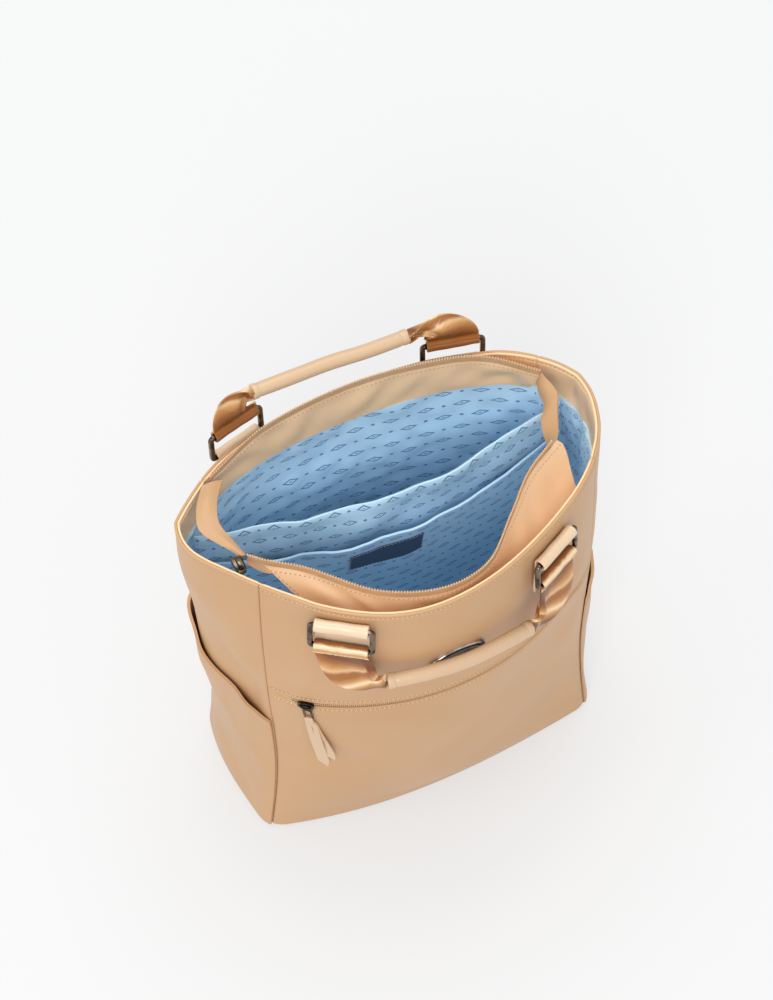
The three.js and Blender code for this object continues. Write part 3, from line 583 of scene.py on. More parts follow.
class Shader:
    """Node tree of one material, with short calls that add and join nodes."""

    def __init__(self, name: str) -> None:
        """Start a material with a principled surface."""
        self.material = bpy.data.materials.new(name)
        self.material.use_nodes = True
        self.tree = self.material.node_tree
        self.tree.nodes.clear()
        self.surface = self.add("ShaderNodeBsdfPrincipled")
        output = self.add("ShaderNodeOutputMaterial")
        self.tree.links.new(self.surface.outputs[0], output.inputs["Surface"])

    def add(self, kind: str, settings: Optional[dict] = None, inputs: Optional[dict] = None):
        """Add a node.

        Args:
            kind: Type of the node.
            settings: Values of its properties.
            inputs: Values or output sockets for its inputs, by name or number.

        Returns:
            The node.
        """
        node = self.tree.nodes.new(kind)
        for key, value in (settings or {}).items():
            setattr(node, key, value)
        for key, value in (inputs or {}).items():
            self.feed(node.inputs[key], value)
        return node

    def feed(self, socket, value) -> None:
        """Join an output to a socket, or set a constant on it."""
        if isinstance(value, bpy.types.NodeSocket):
            self.tree.links.new(value, socket)
        else:
            socket.default_value = value

    def math(self, operation: str, first, second=0.0, third=0.0):
        """Output of a math node."""
        node = self.add("ShaderNodeMath", {"operation": operation})
        for socket, value in zip(node.inputs, (first, second, third)):
            self.feed(socket, value)
        return node.outputs[0]

    def place(self):
        """Output with the object's own coordinates."""
        return self.add("ShaderNodeTexCoord").outputs["Object"]

    def texture(self):
        """Outputs with the texture's u and v."""
        uv = self.add("ShaderNodeTexCoord").outputs["UV"]
        return self.add("ShaderNodeSeparateXYZ", inputs={0: uv}).outputs[:2]

    def ribs(self, along, pitch: float, height: float):
        """Sine ribs of a pitch along a coordinate, from 0 to a height."""
        turn = self.math("MULTIPLY", along, 2 * math.pi / pitch)
        return self.spread(self.math("SINE", turn), 0.0, height)

    def noise(self, vector, scale: float, detail: float = 3.0, roughness: float = 0.5):
        """Output of a noise texture."""
        node = self.add(
            "ShaderNodeTexNoise",
            inputs={"Vector": vector, "Scale": scale, "Detail": detail, "Roughness": roughness},
        )
        return node.outputs["Fac"]

    def spread(self, value, low: float, high: float):
        """A value from 0 to 1 brought to a range."""
        node = self.add(
            "ShaderNodeMapRange", inputs={"Value": value, "To Min": low, "To Max": high}
        )
        return node.outputs[0]

    def blend(self, share, first: Rgb, second: Rgb):
        """Colour between two, each a constant or an output."""
        node = self.add("ShaderNodeMix", {"data_type": "RGBA"})
        self.feed(node.inputs[0], share)
        for socket, value in ((node.inputs[6], first), (node.inputs[7], second)):
            self.feed(socket, (*value, 1.0) if isinstance(value, tuple) else value)
        return node.outputs[2]

    def bump(self, height, depth: float, strength: float, before=None):
        """Normal bumped by a height in metres times a depth."""
        node = self.add(
            "ShaderNodeBump", inputs={"Height": height, "Distance": depth, "Strength": strength}
        )
        if before is not None:
            self.feed(node.inputs["Normal"], before)
        return node.outputs[0]

    def finish(self, **values) -> Finish:
        """Set the surface's inputs, with _ for a space in their names."""
        for key, value in values.items():
            if isinstance(value, tuple) and len(value) == 3:
                value = (*value, 1.0)
            self.feed(self.surface.inputs[key.replace("_", " ")], value)
        return self.material


def linear(red: int, green: int, blue: int) -> Rgb:
    """Linear colour of three sRGB numbers from 0 to 255."""
    return tuple(
        v / 12.92 if v <= 0.04045 else ((v + 0.055) / 1.055) ** 2.4
        for v in (red / 255, green / 255, blue / 255)
    )


@dataclass(frozen=True)
class CoatedCloth:
    """Smooth coated cloth with a fine grain and a satin sheen."""

    name: str
    tone: Rgb
    warm: Rgb
    roughness: float = 0.4
    grain: float = 1.0
    coat: float = 0.05

    def build(self) -> Finish:
        """Make the material."""
        shader = Shader(self.name)
        place = shader.place()
        broad = shader.noise(place, 9.0, 2.0)
        fine = shader.noise(place, 1300.0, 2.0)
        weave = shader.noise(place, 420.0, 2.0, 0.6)
        tint = shader.blend(shader.spread(broad, 0.0, 0.9), self.tone, self.warm)
        height = shader.math("ADD", shader.math("MULTIPLY", weave, 0.5), fine)
        normal = shader.bump(shader.noise(place, 75.0, 2.0), 0.0006, 0.35)
        normal = shader.bump(height, 0.00006 * self.grain, 0.7, normal)
        return shader.finish(
            Base_Color=tint,
            Roughness=shader.spread(broad, self.roughness - 0.05, self.roughness + 0.07),
            Normal=normal,
            Coat_Weight=self.coat,
            Coat_Roughness=0.3,
            Specular_IOR_Level=0.4,
        )


@dataclass(frozen=True)
class SatinLining:
    """Thin satin with a small staggered motif of lozenges and dots."""

    name: str = "satin_lining"
    tone: Rgb = linear(202, 234, 253)
    deep: Rgb = linear(181, 218, 245)
    ink: Rgb = linear(44, 96, 152)
    cell: tuple[float, float] = (0.022, 0.015)

    def build(self) -> Finish:
        """Make the material."""
        shader = Shader(self.name)
        math = shader.math
        across, up = (math("DIVIDE", axis, size) for axis, size in zip(shader.texture(), self.cell))
        row = math("FLOOR", up)
        across = math("ADD", across, math("MULTIPLY", row, 0.5))
        x = math("ABSOLUTE", math("SUBTRACT", math("FRACT", across), 0.5))
        y = math("ABSOLUTE", math("SUBTRACT", math("FRACT", up), 0.5))
        ring = math("ADD", math("MULTIPLY", x, 4.0), math("MULTIPLY", y, 5.4))
        outline = math("LESS_THAN", math("ABSOLUTE", math("SUBTRACT", ring, 0.86)), 0.2)
        heart = math("LESS_THAN", ring, 0.24)
        far = math("SUBTRACT", 0.5, x)
        dot = math("ADD", math("POWER", math("MULTIPLY", far, 1.3), 2.0), math("POWER", y, 2.0))
        mark = math("MAXIMUM", math("MAXIMUM", outline, heart), math("LESS_THAN", dot, 0.006))
        place = shader.place()
        tint = shader.blend(shader.noise(place, 14.0, 2.0), self.tone, self.deep)
        colour = shader.blend(math("MULTIPLY", mark, 0.8), tint, self.ink)
        normal = shader.bump(shader.noise(place, 55.0, 3.0), 0.0008, 0.4)
        normal = shader.bump(shader.noise(place, 1500.0, 1.0), 0.00005, 0.5, normal)
        return shader.finish(
            Base_Color=colour,
            Roughness=0.38,
            Normal=normal,
            Sheen_Weight=0.04,
            Sheen_Roughness=0.35,
        )


@dataclass(frozen=True)
class RibbedTape:
    """Woven tape with ribs across its length, which is the texture's u."""

    name: str
    tone: Rgb
    light: Rgb
    pitch: float
    depth: float
    roughness: float
    coat: float
    thread: float = 0.0011

    def build(self) -> Finish:
        """Make the material."""
        shader = Shader(self.name)
        u, v = shader.texture()
        rib = shader.ribs(u, self.pitch, 0.5)
        height = shader.math("ADD", rib, shader.ribs(v, self.thread, 0.12))
        broad = shader.spread(shader.noise(shader.place(), 55.0), -0.25, 1.15)
        share = shader.math("MULTIPLY_ADD", rib, 0.18, broad)
        return shader.finish(
            Base_Color=shader.blend(share, self.tone, self.light),
            Roughness=self.roughness,
            Normal=shader.bump(height, self.depth, 0.8),
            Coat_Weight=self.coat,
            Coat_Roughness=0.22,
        )


@dataclass(frozen=True)
class BandedCloth:
    """Ribbed satin whose colour changes in bands along the texture's u, slanted by its v: the webbing's own
    tones with painted highlights and painted shade of its glints and folds.
    """

    name: str
    span: float
    bands: tuple[tuple[float, Rgb], ...]
    slant: float = 0.0
    uneven: float = 0.0012
    rib: float = 0.003
    depth: float = 0.0002
    roughness: float = 0.26

    def build(self) -> Finish:
        """Make the material."""
        shader = Shader(self.name)
        u, v = shader.texture()
        along = shader.math("MULTIPLY_ADD", v, self.slant, u)
        noise = shader.noise(shader.place(), 160.0, 2.0)
        uneven = shader.spread(noise, -self.uneven, self.uneven)
        share = shader.math("DIVIDE", shader.math("ADD", along, uneven), self.span)
        # The ramp's bands are painted light: light bands stand for glints, dark bands for the shade under the
        # roll and in the folds.
        ramp = shader.add("ShaderNodeValToRGB", inputs={"Fac": share})
        stops = ramp.color_ramp.elements
        stops[0].color = (*self.bands[0][1], 1.0)
        stops[1].color = (*self.bands[-1][1], 1.0)
        for at, tone in self.bands[1:-1]:
            stops.new(at / self.span).color = (*tone, 1.0)
        return shader.finish(
            Base_Color=ramp.outputs["Color"],
            Roughness=self.roughness,
            Normal=shader.bump(shader.ribs(u, self.rib, 0.5), self.depth, 0.8),
            Coat_Weight=0.3,
            Coat_Roughness=0.2,
        )


@dataclass(frozen=True)
class Gunmetal:
    """Dark polished metal with faint smears in its roughness, and painted reflections: broad noise patches shift
    its colour between a dark and a light tone.
    """

    name: str = "gunmetal"
    tone: Rgb = linear(132, 117, 102)
    dark: Rgb = linear(38, 31, 26)
    roughness: float = 0.14

    def build(self) -> Finish:
        """Make the material."""
        shader = Shader(self.name)
        place = shader.place()
        smear = shader.noise(place, 180.0, 4.0)
        # Painted reflections: broad patches of lighter colour stand in for what the metal would reflect.
        painted_reflections = shader.spread(shader.noise(place, 130.0, 1.0), -1.1, 2.1)
        return shader.finish(
            Base_Color=shader.blend(shader.math("MINIMUM", painted_reflections, 1.0), self.dark, self.tone),
            Metallic=1.0,
            Roughness=shader.spread(smear, self.roughness - 0.06, self.roughness + 0.1),
            Normal=shader.bump(shader.noise(place, 900.0, 1.0), 0.00002, 0.3),
        )


@dataclass(frozen=True)
class PlainThread:
    """Sewing thread or small matte parts."""

    name: str
    tone: Rgb
    roughness: float

    def build(self) -> Finish:
        """Make the material."""
        shader = Shader(self.name)
        place = shader.place()
        fuzz = shader.noise(place, 2400.0, 2.0)
        return shader.finish(
            Base_Color=self.tone,
            Roughness=self.roughness,
            Normal=shader.bump(fuzz, 0.0001, 0.5),
            Specular_IOR_Level=0.2,
        )


@dataclass(frozen=True)
class PatchCloth:
    """Slightly glossy dark patch with a plain woven grain."""

    name: str = "label_cloth"
    tone: Rgb = linear(52, 68, 92)
    light: Rgb = linear(70, 86, 110)

    def build(self) -> Finish:
        """Make the material."""
        shader = Shader(self.name)
        place = shader.place()
        grain = shader.noise(place, 900.0, 2.0)
        return shader.finish(
            Base_Color=shader.blend(grain, self.tone, self.light),
            Roughness=0.45,
            Normal=shader.bump(grain, 0.0001, 0.6),
        )


class Finishes:
    """All materials of the bag, each built once."""

    def __init__(self) -> None:
        """Build the materials."""
        self.cloth = self.coated("coated_cloth", (200, 159, 118), (188, 145, 101))
        # The inside and band finishes are lighter copies of the coated cloth: painted light for the facings and
        # rim lining, which lie in the bag's shade.
        self.inside = self.coated("inside_cloth", (232, 197, 158), (220, 182, 142), 0.34)
        self.band = self.coated("rim_band_cloth", (250, 212, 168), (241, 200, 155), 0.34)
        self.grip = self.coated("grip_cloth", (212, 181, 147), (200, 166, 130), 0.3, 0.6, 0.2)
        self.tab = self.coated("tab_cloth", (228, 202, 171), (220, 190, 156), 0.28, 0.6, 0.25)
        self.lining = SatinLining().build()
        # shaded_tape is a darker copy of the zip tape: painted shade for the slot of the front pocket zip.
        self.strap, self.tape, self.shaded_tape = (
            RibbedTape(name, linear(*tone), linear(*light), *rest).build()
            for name, tone, light, *rest in (
                ("strap_cloth", (150, 90, 42), (212, 154, 98), 0.003, 0.00016, 0.26, 0.4),
                ("zip_tape", (188, 146, 104), (208, 168, 126), 0.0024, 0.0002, 0.5, 0.0),
                ("pocket_tape", (120, 80, 48), (146, 102, 66), 0.0024, 0.0002, 0.6, 0.0),
            )
        )
        self.roll, self.bunch = self.webbing()
        self.metal = Gunmetal().build()
        bright, dull = linear(206, 196, 186), linear(110, 100, 92)
        self.bright = Gunmetal("polished_edge", bright, dull, 0.16).build()
        self.plate = Gunmetal("dark_plate", linear(72, 55, 44), linear(28, 20, 15), 0.32).build()
        self.patch = PatchCloth().build()
        # The brown finish is the pull stitches' brown thread and also the painted shade of the stitch holes.
        self.coil, self.thread, self.frayed, self.pale, self.brown = (
            PlainThread(name, linear(*tone), roughness).build()
            for name, tone, roughness in (
                ("zip_coil", (222, 188, 148), 0.4),
                ("thread", (200, 152, 102), 0.6),
                ("frayed_thread", (232, 204, 168), 0.6),
                ("pale_thread", (128, 146, 166), 0.6),
                ("brown_thread", (120, 78, 44), 0.6),
            )
        )

    @staticmethod
    def coated(name: str, tone: Rgb, warm: Rgb, *rest: float) -> Finish:
        """Coated cloth of two sRGB colours."""
        return CoatedCloth(name, linear(*tone), linear(*warm), *rest).build()

    @staticmethod
    def webbing() -> tuple[Finish, Finish]:
        """Satin webbing, wound and bunched, with painted glints and painted shade in bands along its length."""
        # Shadow and brown bands paint shade, pale and gleam bands paint highlights, between the webbing's own
        # tan.
        shadow, brown, tan = linear(112, 60, 18), linear(160, 98, 40), linear(196, 142, 84)
        pale, gleam = linear(222, 180, 132), linear(242, 212, 172)
        roll = (
            (0.0, pale), (0.0030, tan), (0.0050, brown), (0.0064, tan), (0.0098, tan),
            (0.0118, gleam), (0.0132, gleam), (0.0150, brown), (0.0176, shadow), (0.030, brown),
        )
        bunch = (
            (0.0, shadow), (0.009, shadow), (0.015, brown), (0.020, tan), (0.0235, pale),
            (0.0265, brown), (0.0315, brown), (0.036, tan), (0.0405, gleam), (0.044, tan),
            (0.0505, shadow), (0.057, brown),
        )
        return (
            BandedCloth("webbing_roll", 0.030, roll, depth=0.0).build(),
            BandedCloth("webbing_bunch", 0.060, bunch, slant=-0.55).build(),
        )


@dataclass
class RepeatAlong:
    """Small solids repeated along lines with geometry nodes."""

    spacing: float
    size: tuple[float, float, float]
    turn: float = 0.0
    jitter: float = 0.06
    seed: int = 11
    lines: list[tuple[Array, Array]] = field(default_factory=list)
    inputs: ClassVar[tuple[tuple[str, str], ...]] = (
        ("Spacing", "Float"),
        ("Size", "Vector"),
        ("Turn", "Vector"),
        ("Smallest", "Float"),
        ("Largest", "Float"),
        ("Seed", "Int"),
        ("Material", "Material"),
    )

    def line(self, points: Array, out: Array) -> None:
        """Add a line with the outward direction at each of its points."""
        self.lines.append((np.asarray(points), np.asarray(out)))

    def tree(self) -> bpy.types.NodeTree:
        """The node tree: lines are cut to even steps, and a bead is set on each."""
        group = bpy.data.node_groups.new("repeat_along", "GeometryNodeTree")
        for name, kind in (("Geometry", "Geometry"), *self.inputs):
            kind = f"NodeSocket{kind}"
            group.interface.new_socket(name, in_out="INPUT", socket_type=kind)
        group.interface.new_socket(
            "Geometry", in_out="OUTPUT", socket_type="NodeSocketGeometry"
        )
        add, join = group.nodes.new, group.links.new
        given, result = add("NodeGroupInput"), add("NodeGroupOutput")
        curve, cut = add("GeometryNodeMeshToCurve"), add("GeometryNodeResampleCurve")
        cut.mode = "LENGTH"
        bead = add("GeometryNodeMeshUVSphere")
        for name, value in (("Segments", 10), ("Rings", 6), ("Radius", 0.5)):
            bead.inputs[name].default_value = value
        shape, tangent = add("GeometryNodeTransform"), add("GeometryNodeInputTangent")
        out = add("GeometryNodeInputNamedAttribute")
        out.data_type = "FLOAT_VECTOR"
        out.inputs["Name"].default_value = "out"
        first, second = (add("FunctionNodeAlignRotationToVector") for _ in range(2))
        first.axis, second.axis, second.pivot_axis = "X", "Z", "X"
        scale = add("FunctionNodeRandomValue")
        scale.data_type = "FLOAT"
        place, real = add("GeometryNodeInstanceOnPoints"), add("GeometryNodeRealizeInstances")
        smooth, dress = add("GeometryNodeSetShadeSmooth"), add("GeometryNodeSetMaterial")
        chain = (given, curve, cut, place, real, smooth, dress, result)
        for start, end in zip(chain, chain[1:]):
            join(start.outputs[0], end.inputs[0])
        join(bead.outputs["Mesh"], shape.inputs["Geometry"])
        join(shape.outputs[0], place.inputs["Instance"])
        join(tangent.outputs[0], first.inputs["Vector"])
        join(first.outputs[0], second.inputs["Rotation"])
        join(out.outputs["Attribute"], second.inputs["Vector"])
        join(second.outputs[0], place.inputs["Rotation"])
        smallest, largest = [s for s in scale.inputs if s.type == "VALUE"][:2]
        size = [s for s in scale.outputs if s.type == "VALUE" and s.enabled][0]
        join(size, place.inputs["Scale"])
        for name, socket in (
            ("Spacing", cut.inputs["Length"]),
            ("Size", shape.inputs["Scale"]),
            ("Turn", shape.inputs["Rotation"]),
            ("Smallest", smallest),
            ("Largest", largest),
            ("Seed", scale.inputs["Seed"]),
            ("Material", dress.inputs["Material"]),
        ):
            join(given.outputs[name], socket)
        return group

    def build(self, name: str, material: Finish) -> Piece:
        """Run the nodes and keep their result as a plain mesh.

        Args:
            name: Name of the piece.
            material: Finish of the beads.

        Returns:
            The finished piece.
        """
        points = np.vstack([p for p, _ in self.lines])
        outs = np.vstack([o for _, o in self.lines])
        edges, start = [], 0
        for p, _ in self.lines:
            edges += [(start + k, start + k + 1) for k in range(len(p) - 1)]
            start += len(p)
        mesh = bpy.data.meshes.new(name)
        mesh.from_pydata(points.tolist(), edges, [])
        attribute = mesh.attributes.new("out", "FLOAT_VECTOR", "POINT")
        attribute.data.foreach_set("vector", np.asarray(outs, np.float32).ravel())
        piece = bpy.data.objects.new(name, mesh)
        bpy.context.scene.collection.objects.link(piece)
        modifier = piece.modifiers.new("repeat", "NODES")
        modifier.node_group = self.tree()
        values = {
            "Spacing": float(self.spacing),
            "Size": tuple(map(float, self.size)),
            "Turn": (0.0, 0.0, math.radians(self.turn)),
            "Smallest": 1.0 - self.jitter,
            "Largest": 1.0 + self.jitter,
            "Seed": int(self.seed),
            "Material": material,
        }
        for item in modifier.node_group.interface.items_tree:
            if item.name in values:
                modifier[item.identifier] = values[item.name]
        keep_plain(piece)
        LOG.info("%s: %d faces of beads", name, len(piece.data.polygons))
        return piece


@dataclass
class Stitches:
    """Rows of stitches: threads on the cloth with a small dark bead between two, painted shade of the needle
    hole.
    """

    pitch: float = 0.0038
    size: tuple[float, float, float] = (0.0027, 0.0009, 0.0006)
    lines: list[tuple[Array, Array]] = field(default_factory=list)

    def line(self, points: Array, out: Array) -> None:
        """Add a row with the outward direction at each of its points."""
        self.lines.append((np.asarray(points), np.asarray(out)))

    def build(
        self, name: str, thread: Finish, hole: Finish
    ) -> Piece:
        """Make the rows.

        Args:
            name: Name of the piece.
            thread: Finish of the threads.
            hole: Finish of the holes, a dark one where they paint the shade of the needle holes.

        Returns:
            The finished piece.
        """
        threads = RepeatAlong(self.pitch, self.size)
        # The holes are dark beads: painted shade of the needle holes.
        holes = RepeatAlong(self.pitch, (0.0011, 0.0010, 0.0004), jitter=0.0, seed=5)
        for points, out in self.lines:
            threads.line(points, out)
            run = run_length(points)
            at = np.linspace(self.pitch / 2, run[-1], len(run))
            holes.line(at_runs(points, run, at), at_runs(out, run, at))
        return joined([threads.build(name, thread), holes.build(f"{name}_holes", hole)])


def ride(piece: Piece, slot: Slot, *nodes: str) -> Piece:
    """Tie a piece to the bag's one body and hide the solids that it replaces."""
    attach(piece, ROOT)
    if nodes:
        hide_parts(*nodes)
    LOG.info("%s: %d faces", piece.name, len(piece.data.polygons))
    return piece


STITCHED = np.arange(0.0037, 0.0088, 0.0004)


def edge_spaced(length: float, count: int, roll: float, fine: Sequence[float] = ()) -> Array:
    """Distances from 0 to a length, crowded within a roll's radius of both ends.

    Args:
        length: The whole length.
        count: Number of even steps between the crowded ends.
        roll: Radius of the rolled edges.
        fine: More distances from each end that are wanted.

    Returns:
        Rising distances.
    """
    near = roll * np.array([0.0, 0.04, 0.13, 0.28, 0.48, 0.72, 1.0, 1.5])
    near = np.concatenate([near, [d for d in fine if d > 1.6 * roll]])
    inner = np.linspace(near[-1], length - near[-1], count)[1:-1]
    return np.concatenate([near, inner, (length - near)[::-1]])


def rolled(distance: Array, radius: float) -> Array:
    """How far a rolled edge of a radius has sunk at a distance from the edge."""
    d = np.clip(distance, 0, radius)
    return radius - np.sqrt(np.maximum(radius**2 - (radius - d) ** 2, 0))


@dataclass
class SoftWalls:
    """The body's cloth: its outer surface with dents, a sagging rim and soft corners."""

    form: BagForm = field(default_factory=BagForm)
    dent: float = 0.0016
    wave: float = 0.0012
    groove: float = 0.0007
    rim_stitch: float = 0.0048
    zip_stitches: tuple[float, float] = (0.0072, -0.0060)
    welt: float = 0.0042

    def __post_init__(self) -> None:
        """Draw the noises once."""
        self.broad = SoftNoise(5, 0.15)
        self.small = SoftNoise(9, 0.07)

    def run(self, place: Array) -> Array:
        """Rough distance round the bag, continuous round the corners."""
        return 0.215 * np.asarray(place, float)

    def soft(self, place: Array, z: Array) -> Array:
        """Offset of the cloth from the true surface."""
        place, z = np.broadcast_arrays(np.asarray(place, float), np.asarray(z, float))
        round_trip = np.mod(place, 4)
        run = self.run(round_trip)
        calm = step_up(z, 0.0, 0.03) * (1 - 0.75 * step_up(z, 0.3, 0.36))
        from_seam = np.abs(round_trip - np.round(round_trip))
        calm = calm * step_up(from_seam, 0.0, 0.12)
        cloth = self.dent * calm * (0.9 * self.broad(run, z) + 0.2 * self.small(run, z))
        return cloth - self.groove * self.stitched(round_trip, z)

    def stitched(self, place: Array, z: Array) -> Array:
        """How much a row of stitches draws the cloth in, from 0 to 1."""
        drawn = bell(self.form.height - self.rim_stitch - z, 0.0011)
        above = z - self.form.zip_line(place)
        pocket = sum(bell(above - gap, 0.0010) for gap in self.zip_stitches)
        pocket = pocket + 1.2 * bell(above - self.welt, 0.0006)
        return drawn + np.where(place < 1, pocket, 0.0)

    def lift(self, place: Array, z: Array) -> Array:
        """How far the rim's cloth rises or drops."""
        turn = np.mod(np.asarray(place, float), 4) * math.pi / 2
        wave = 0.6 * np.sin(2 * turn + 0.7) + 0.5 * np.sin(5 * turn + 2.0) + 0.3 * np.sin(9 * turn)
        return self.wave * wave * step_up(z, 0.25, self.form.height)

    def point(self, place: Array, z: Array, offset: Array | float = 0.0) -> Array:
        """Point of the cloth at an offset outwards from its outer face."""
        points = self.form.point(place, z, np.asarray(offset) + self.soft(place, z))
        points[..., 2] += self.lift(place, z)
        return points

    def out(self, place: Array, z: Array) -> Array:
        """Outward directions at places and heights, level."""
        return unit(self.form.point(place, z, 0.001) - self.form.point(place, z, 0.0))


@dataclass
class Body:
    """Outer panels, front pocket zip, base and their stitching."""

    walls: SoftWalls
    looks: Finishes
    zip_width: float = 0.0094
    seam_roll: float = 0.0017
    base_roll: float = 0.0042
    rim_roll: float = 0.0013
    rim_fold: float = 0.0009
    lip_roll: float = 0.0013
    foot: float = 0.0003

    @property
    def form(self) -> BagForm:
        """The bag's form."""
        return self.walls.form

    def zip_line(self, place: Array) -> Array:
        """Height of the front pocket zip's middle."""
        return self.form.zip_line(place)

    def places(self, wall: Wall, count: int) -> Array:
        """Places of a panel's columns, crowded at its seams."""
        span = np.linalg.norm(self.form.seam(wall.value + 1, 0.2) - self.form.seam(wall.value, 0.2))
        run = edge_spaced(1.0, count, self.seam_roll / span)
        return wall.value + run

    def panel(
        self,
        name: str,
        wall: Wall,
        low: Callable[[Array], Array],
        high: Callable[[Array], Array],
        rolls: tuple[float, float],
        counts: tuple[int, int],
        *nodes: str,
    ) -> None:
        """One panel with rolled edges.

        Args:
            name: Name of the piece.
            wall: Wall that it covers.
            low: Height of its lower edge at places.
            high: Height of its upper edge at places.
            rolls: Radii of its lower and upper edge.
            counts: Columns and rows between the edges.
            nodes: Solids that it stands for.
        """
        place = self.places(wall, counts[0])
        bottom, top = low(place), high(place)
        length = float(np.mean(top - bottom))
        rows = edge_spaced(length, counts[1], max(rolls), STITCHED) / length
        p = np.repeat(place[:, None], len(rows), axis=1)
        z = bottom[:, None] + rows[None, :] * (top - bottom)[:, None]
        span = 0.298 if wall in (Wall.FRONT, Wall.BACK) else 0.13
        from_side = np.minimum(p - wall.value, wall.value + 1 - p) * span
        sink = rolled(from_side, self.seam_roll)
        sink = sink + rolled(z - bottom[:, None], rolls[0]) * (rolls[0] > 0)
        sink = sink + rolled(top[:, None] - z, rolls[1]) * (rolls[1] > 0)
        inner = -self.form.wall - 0.0004
        base = np.where(z < 0.006, rolled(z - bottom[:, None], rolls[0]), 0.0)
        folded = rolled(top[:, None] - z, self.rim_fold)
        face = self.walls.point(p, z, -np.minimum(sink, -inner - folded - 0.0001 + base))
        back = self.walls.point(p, z, inner - base + folded)
        piece = cloth_grid(name, face, back, grid_uv(face), self.looks.cloth)
        ride(piece, Slot.CLOTH, *nodes)

    def build(self) -> None:
        """Build all pieces of the body."""
        foot, top = self.foot, self.form.height
        slot = self.zip_width / 2 - 0.0024
        level = lambda z: lambda place: np.full(np.shape(place), z)
        gape = lambda place: slot * step_up(np.abs(place - 0.5), 0.4435, 0.4425) + 0.0001
        below = lambda place: self.zip_line(place) - gape(place)
        above = lambda place: self.zip_line(place) + gape(place)
        base, rim, lip = self.base_roll, self.rim_roll, self.lip_roll
        low, high = level(foot), level(top)
        for name, wall, lower, upper, rolls, counts, node in (
            ("front_lower", Wall.FRONT, low, below, (base, lip), (110, 70), "front_panel_lower"),
            ("front_upper", Wall.FRONT, above, high, (lip, rim), (110, 60), "front_panel_upper"),
            ("right_wall", Wall.RIGHT, low, high, (base, rim), (60, 110), "right_panel"),
            ("back_wall", Wall.BACK, low, high, (base, rim), (110, 110), "back_panel"),
            ("left_wall", Wall.LEFT, low, high, (base, rim), (60, 110), "left_panel"),
        ):
            self.panel(name, wall, lower, upper, rolls, counts, node)
        self.base_plate()
        self.pocket_zip()
        self.stitching()

    def base_plate(self) -> None:
        """The flat base between the walls' feet."""
        place = np.linspace(0, 4, 241)[:-1]
        rings = []
        for z, offset in ((0.0002, -0.0052), (0.0, -0.006), (0.0034, -0.0045)):
            rings.append(self.form.point(place, np.full(place.shape, 0.002), offset))
            rings[-1][:, 2] = z
        piece = tube("base_plate", np.array([rings[1], rings[0], rings[2]]), self.looks.cloth)
        ride(piece, Slot.CLOTH, "base_panel")

    def pocket_zip(self) -> None:
        """Tape and coil in the slot between the two front panels."""
        place = np.linspace(0.004, 0.996, 160)
        share = np.linspace(-1, 1, 7)
        p = np.repeat(place[:, None], 7, axis=1)
        z = self.zip_line(place)[:, None] + share[None, :] * self.zip_width * 0.62
        depth = -0.0022 - 0.0003 * share[None, :] ** 2 + 0 * p
        face = self.walls.point(p, z, depth)
        back = self.walls.point(p, z, depth - 0.0003)
        # Darker tape finish: painted shade in the slot between the panels.
        tape = cloth_grid("pocket_zip_tape", face, back, grid_uv(face), self.looks.shaded_tape)
        ride(tape, Slot.COIL, "front_pocket_zip")
        teeth = RepeatAlong(0.0016, (0.0011, 0.0023, 0.0011), turn=12)
        line = np.linspace(0.03, 0.97, 260)
        height = self.zip_line(line)
        teeth.line(self.walls.point(line, height, -0.0012), self.walls.out(line, height))
        ride(teeth.build("pocket_zip_coil", self.looks.coil), Slot.COIL)

    def stitching(self) -> None:
        """Rows of stitches beside the pocket zip and under the rim."""
        stitches = Stitches()
        fine = np.linspace(0.012, 0.988, 300)
        for gap in self.walls.zip_stitches:
            height = self.zip_line(fine) + gap
            stitches.line(self.walls.point(fine, height, 0.0003), self.walls.out(fine, height))
        ends = 0.058
        for start in (ends, ends + 0.006):
            height = np.linspace(-1, 1, 12) * 0.0066 + self.zip_line(start)
            place = np.full(12, start)
            stitches.line(self.walls.point(place, height, 0.0), self.walls.out(place, height))
        rim = np.linspace(0, 4, 900)
        height = np.full(rim.shape, self.form.height - self.walls.rim_stitch)
        stitches.line(self.walls.point(rim, height, 0.0), self.walls.out(rim, height))
        ride(stitches.build("body_stitches", self.looks.thread, self.looks.brown), Slot.CLOTH)


@dataclass(frozen=True)
class MouthRow:
    """A place in the mouth as shares of half width, half rim depth and facing height."""

    across: float
    depth: float
    rise: float
    lean: float = 0.0

    def point(self, form: BagForm) -> tuple[float, float, float]:
        """The place in metres."""
        return (
            self.across * form.width / 2,
            self.depth * form.rim_depth / 2,
            form.height + self.rise * form.rim_facing_height,
        )


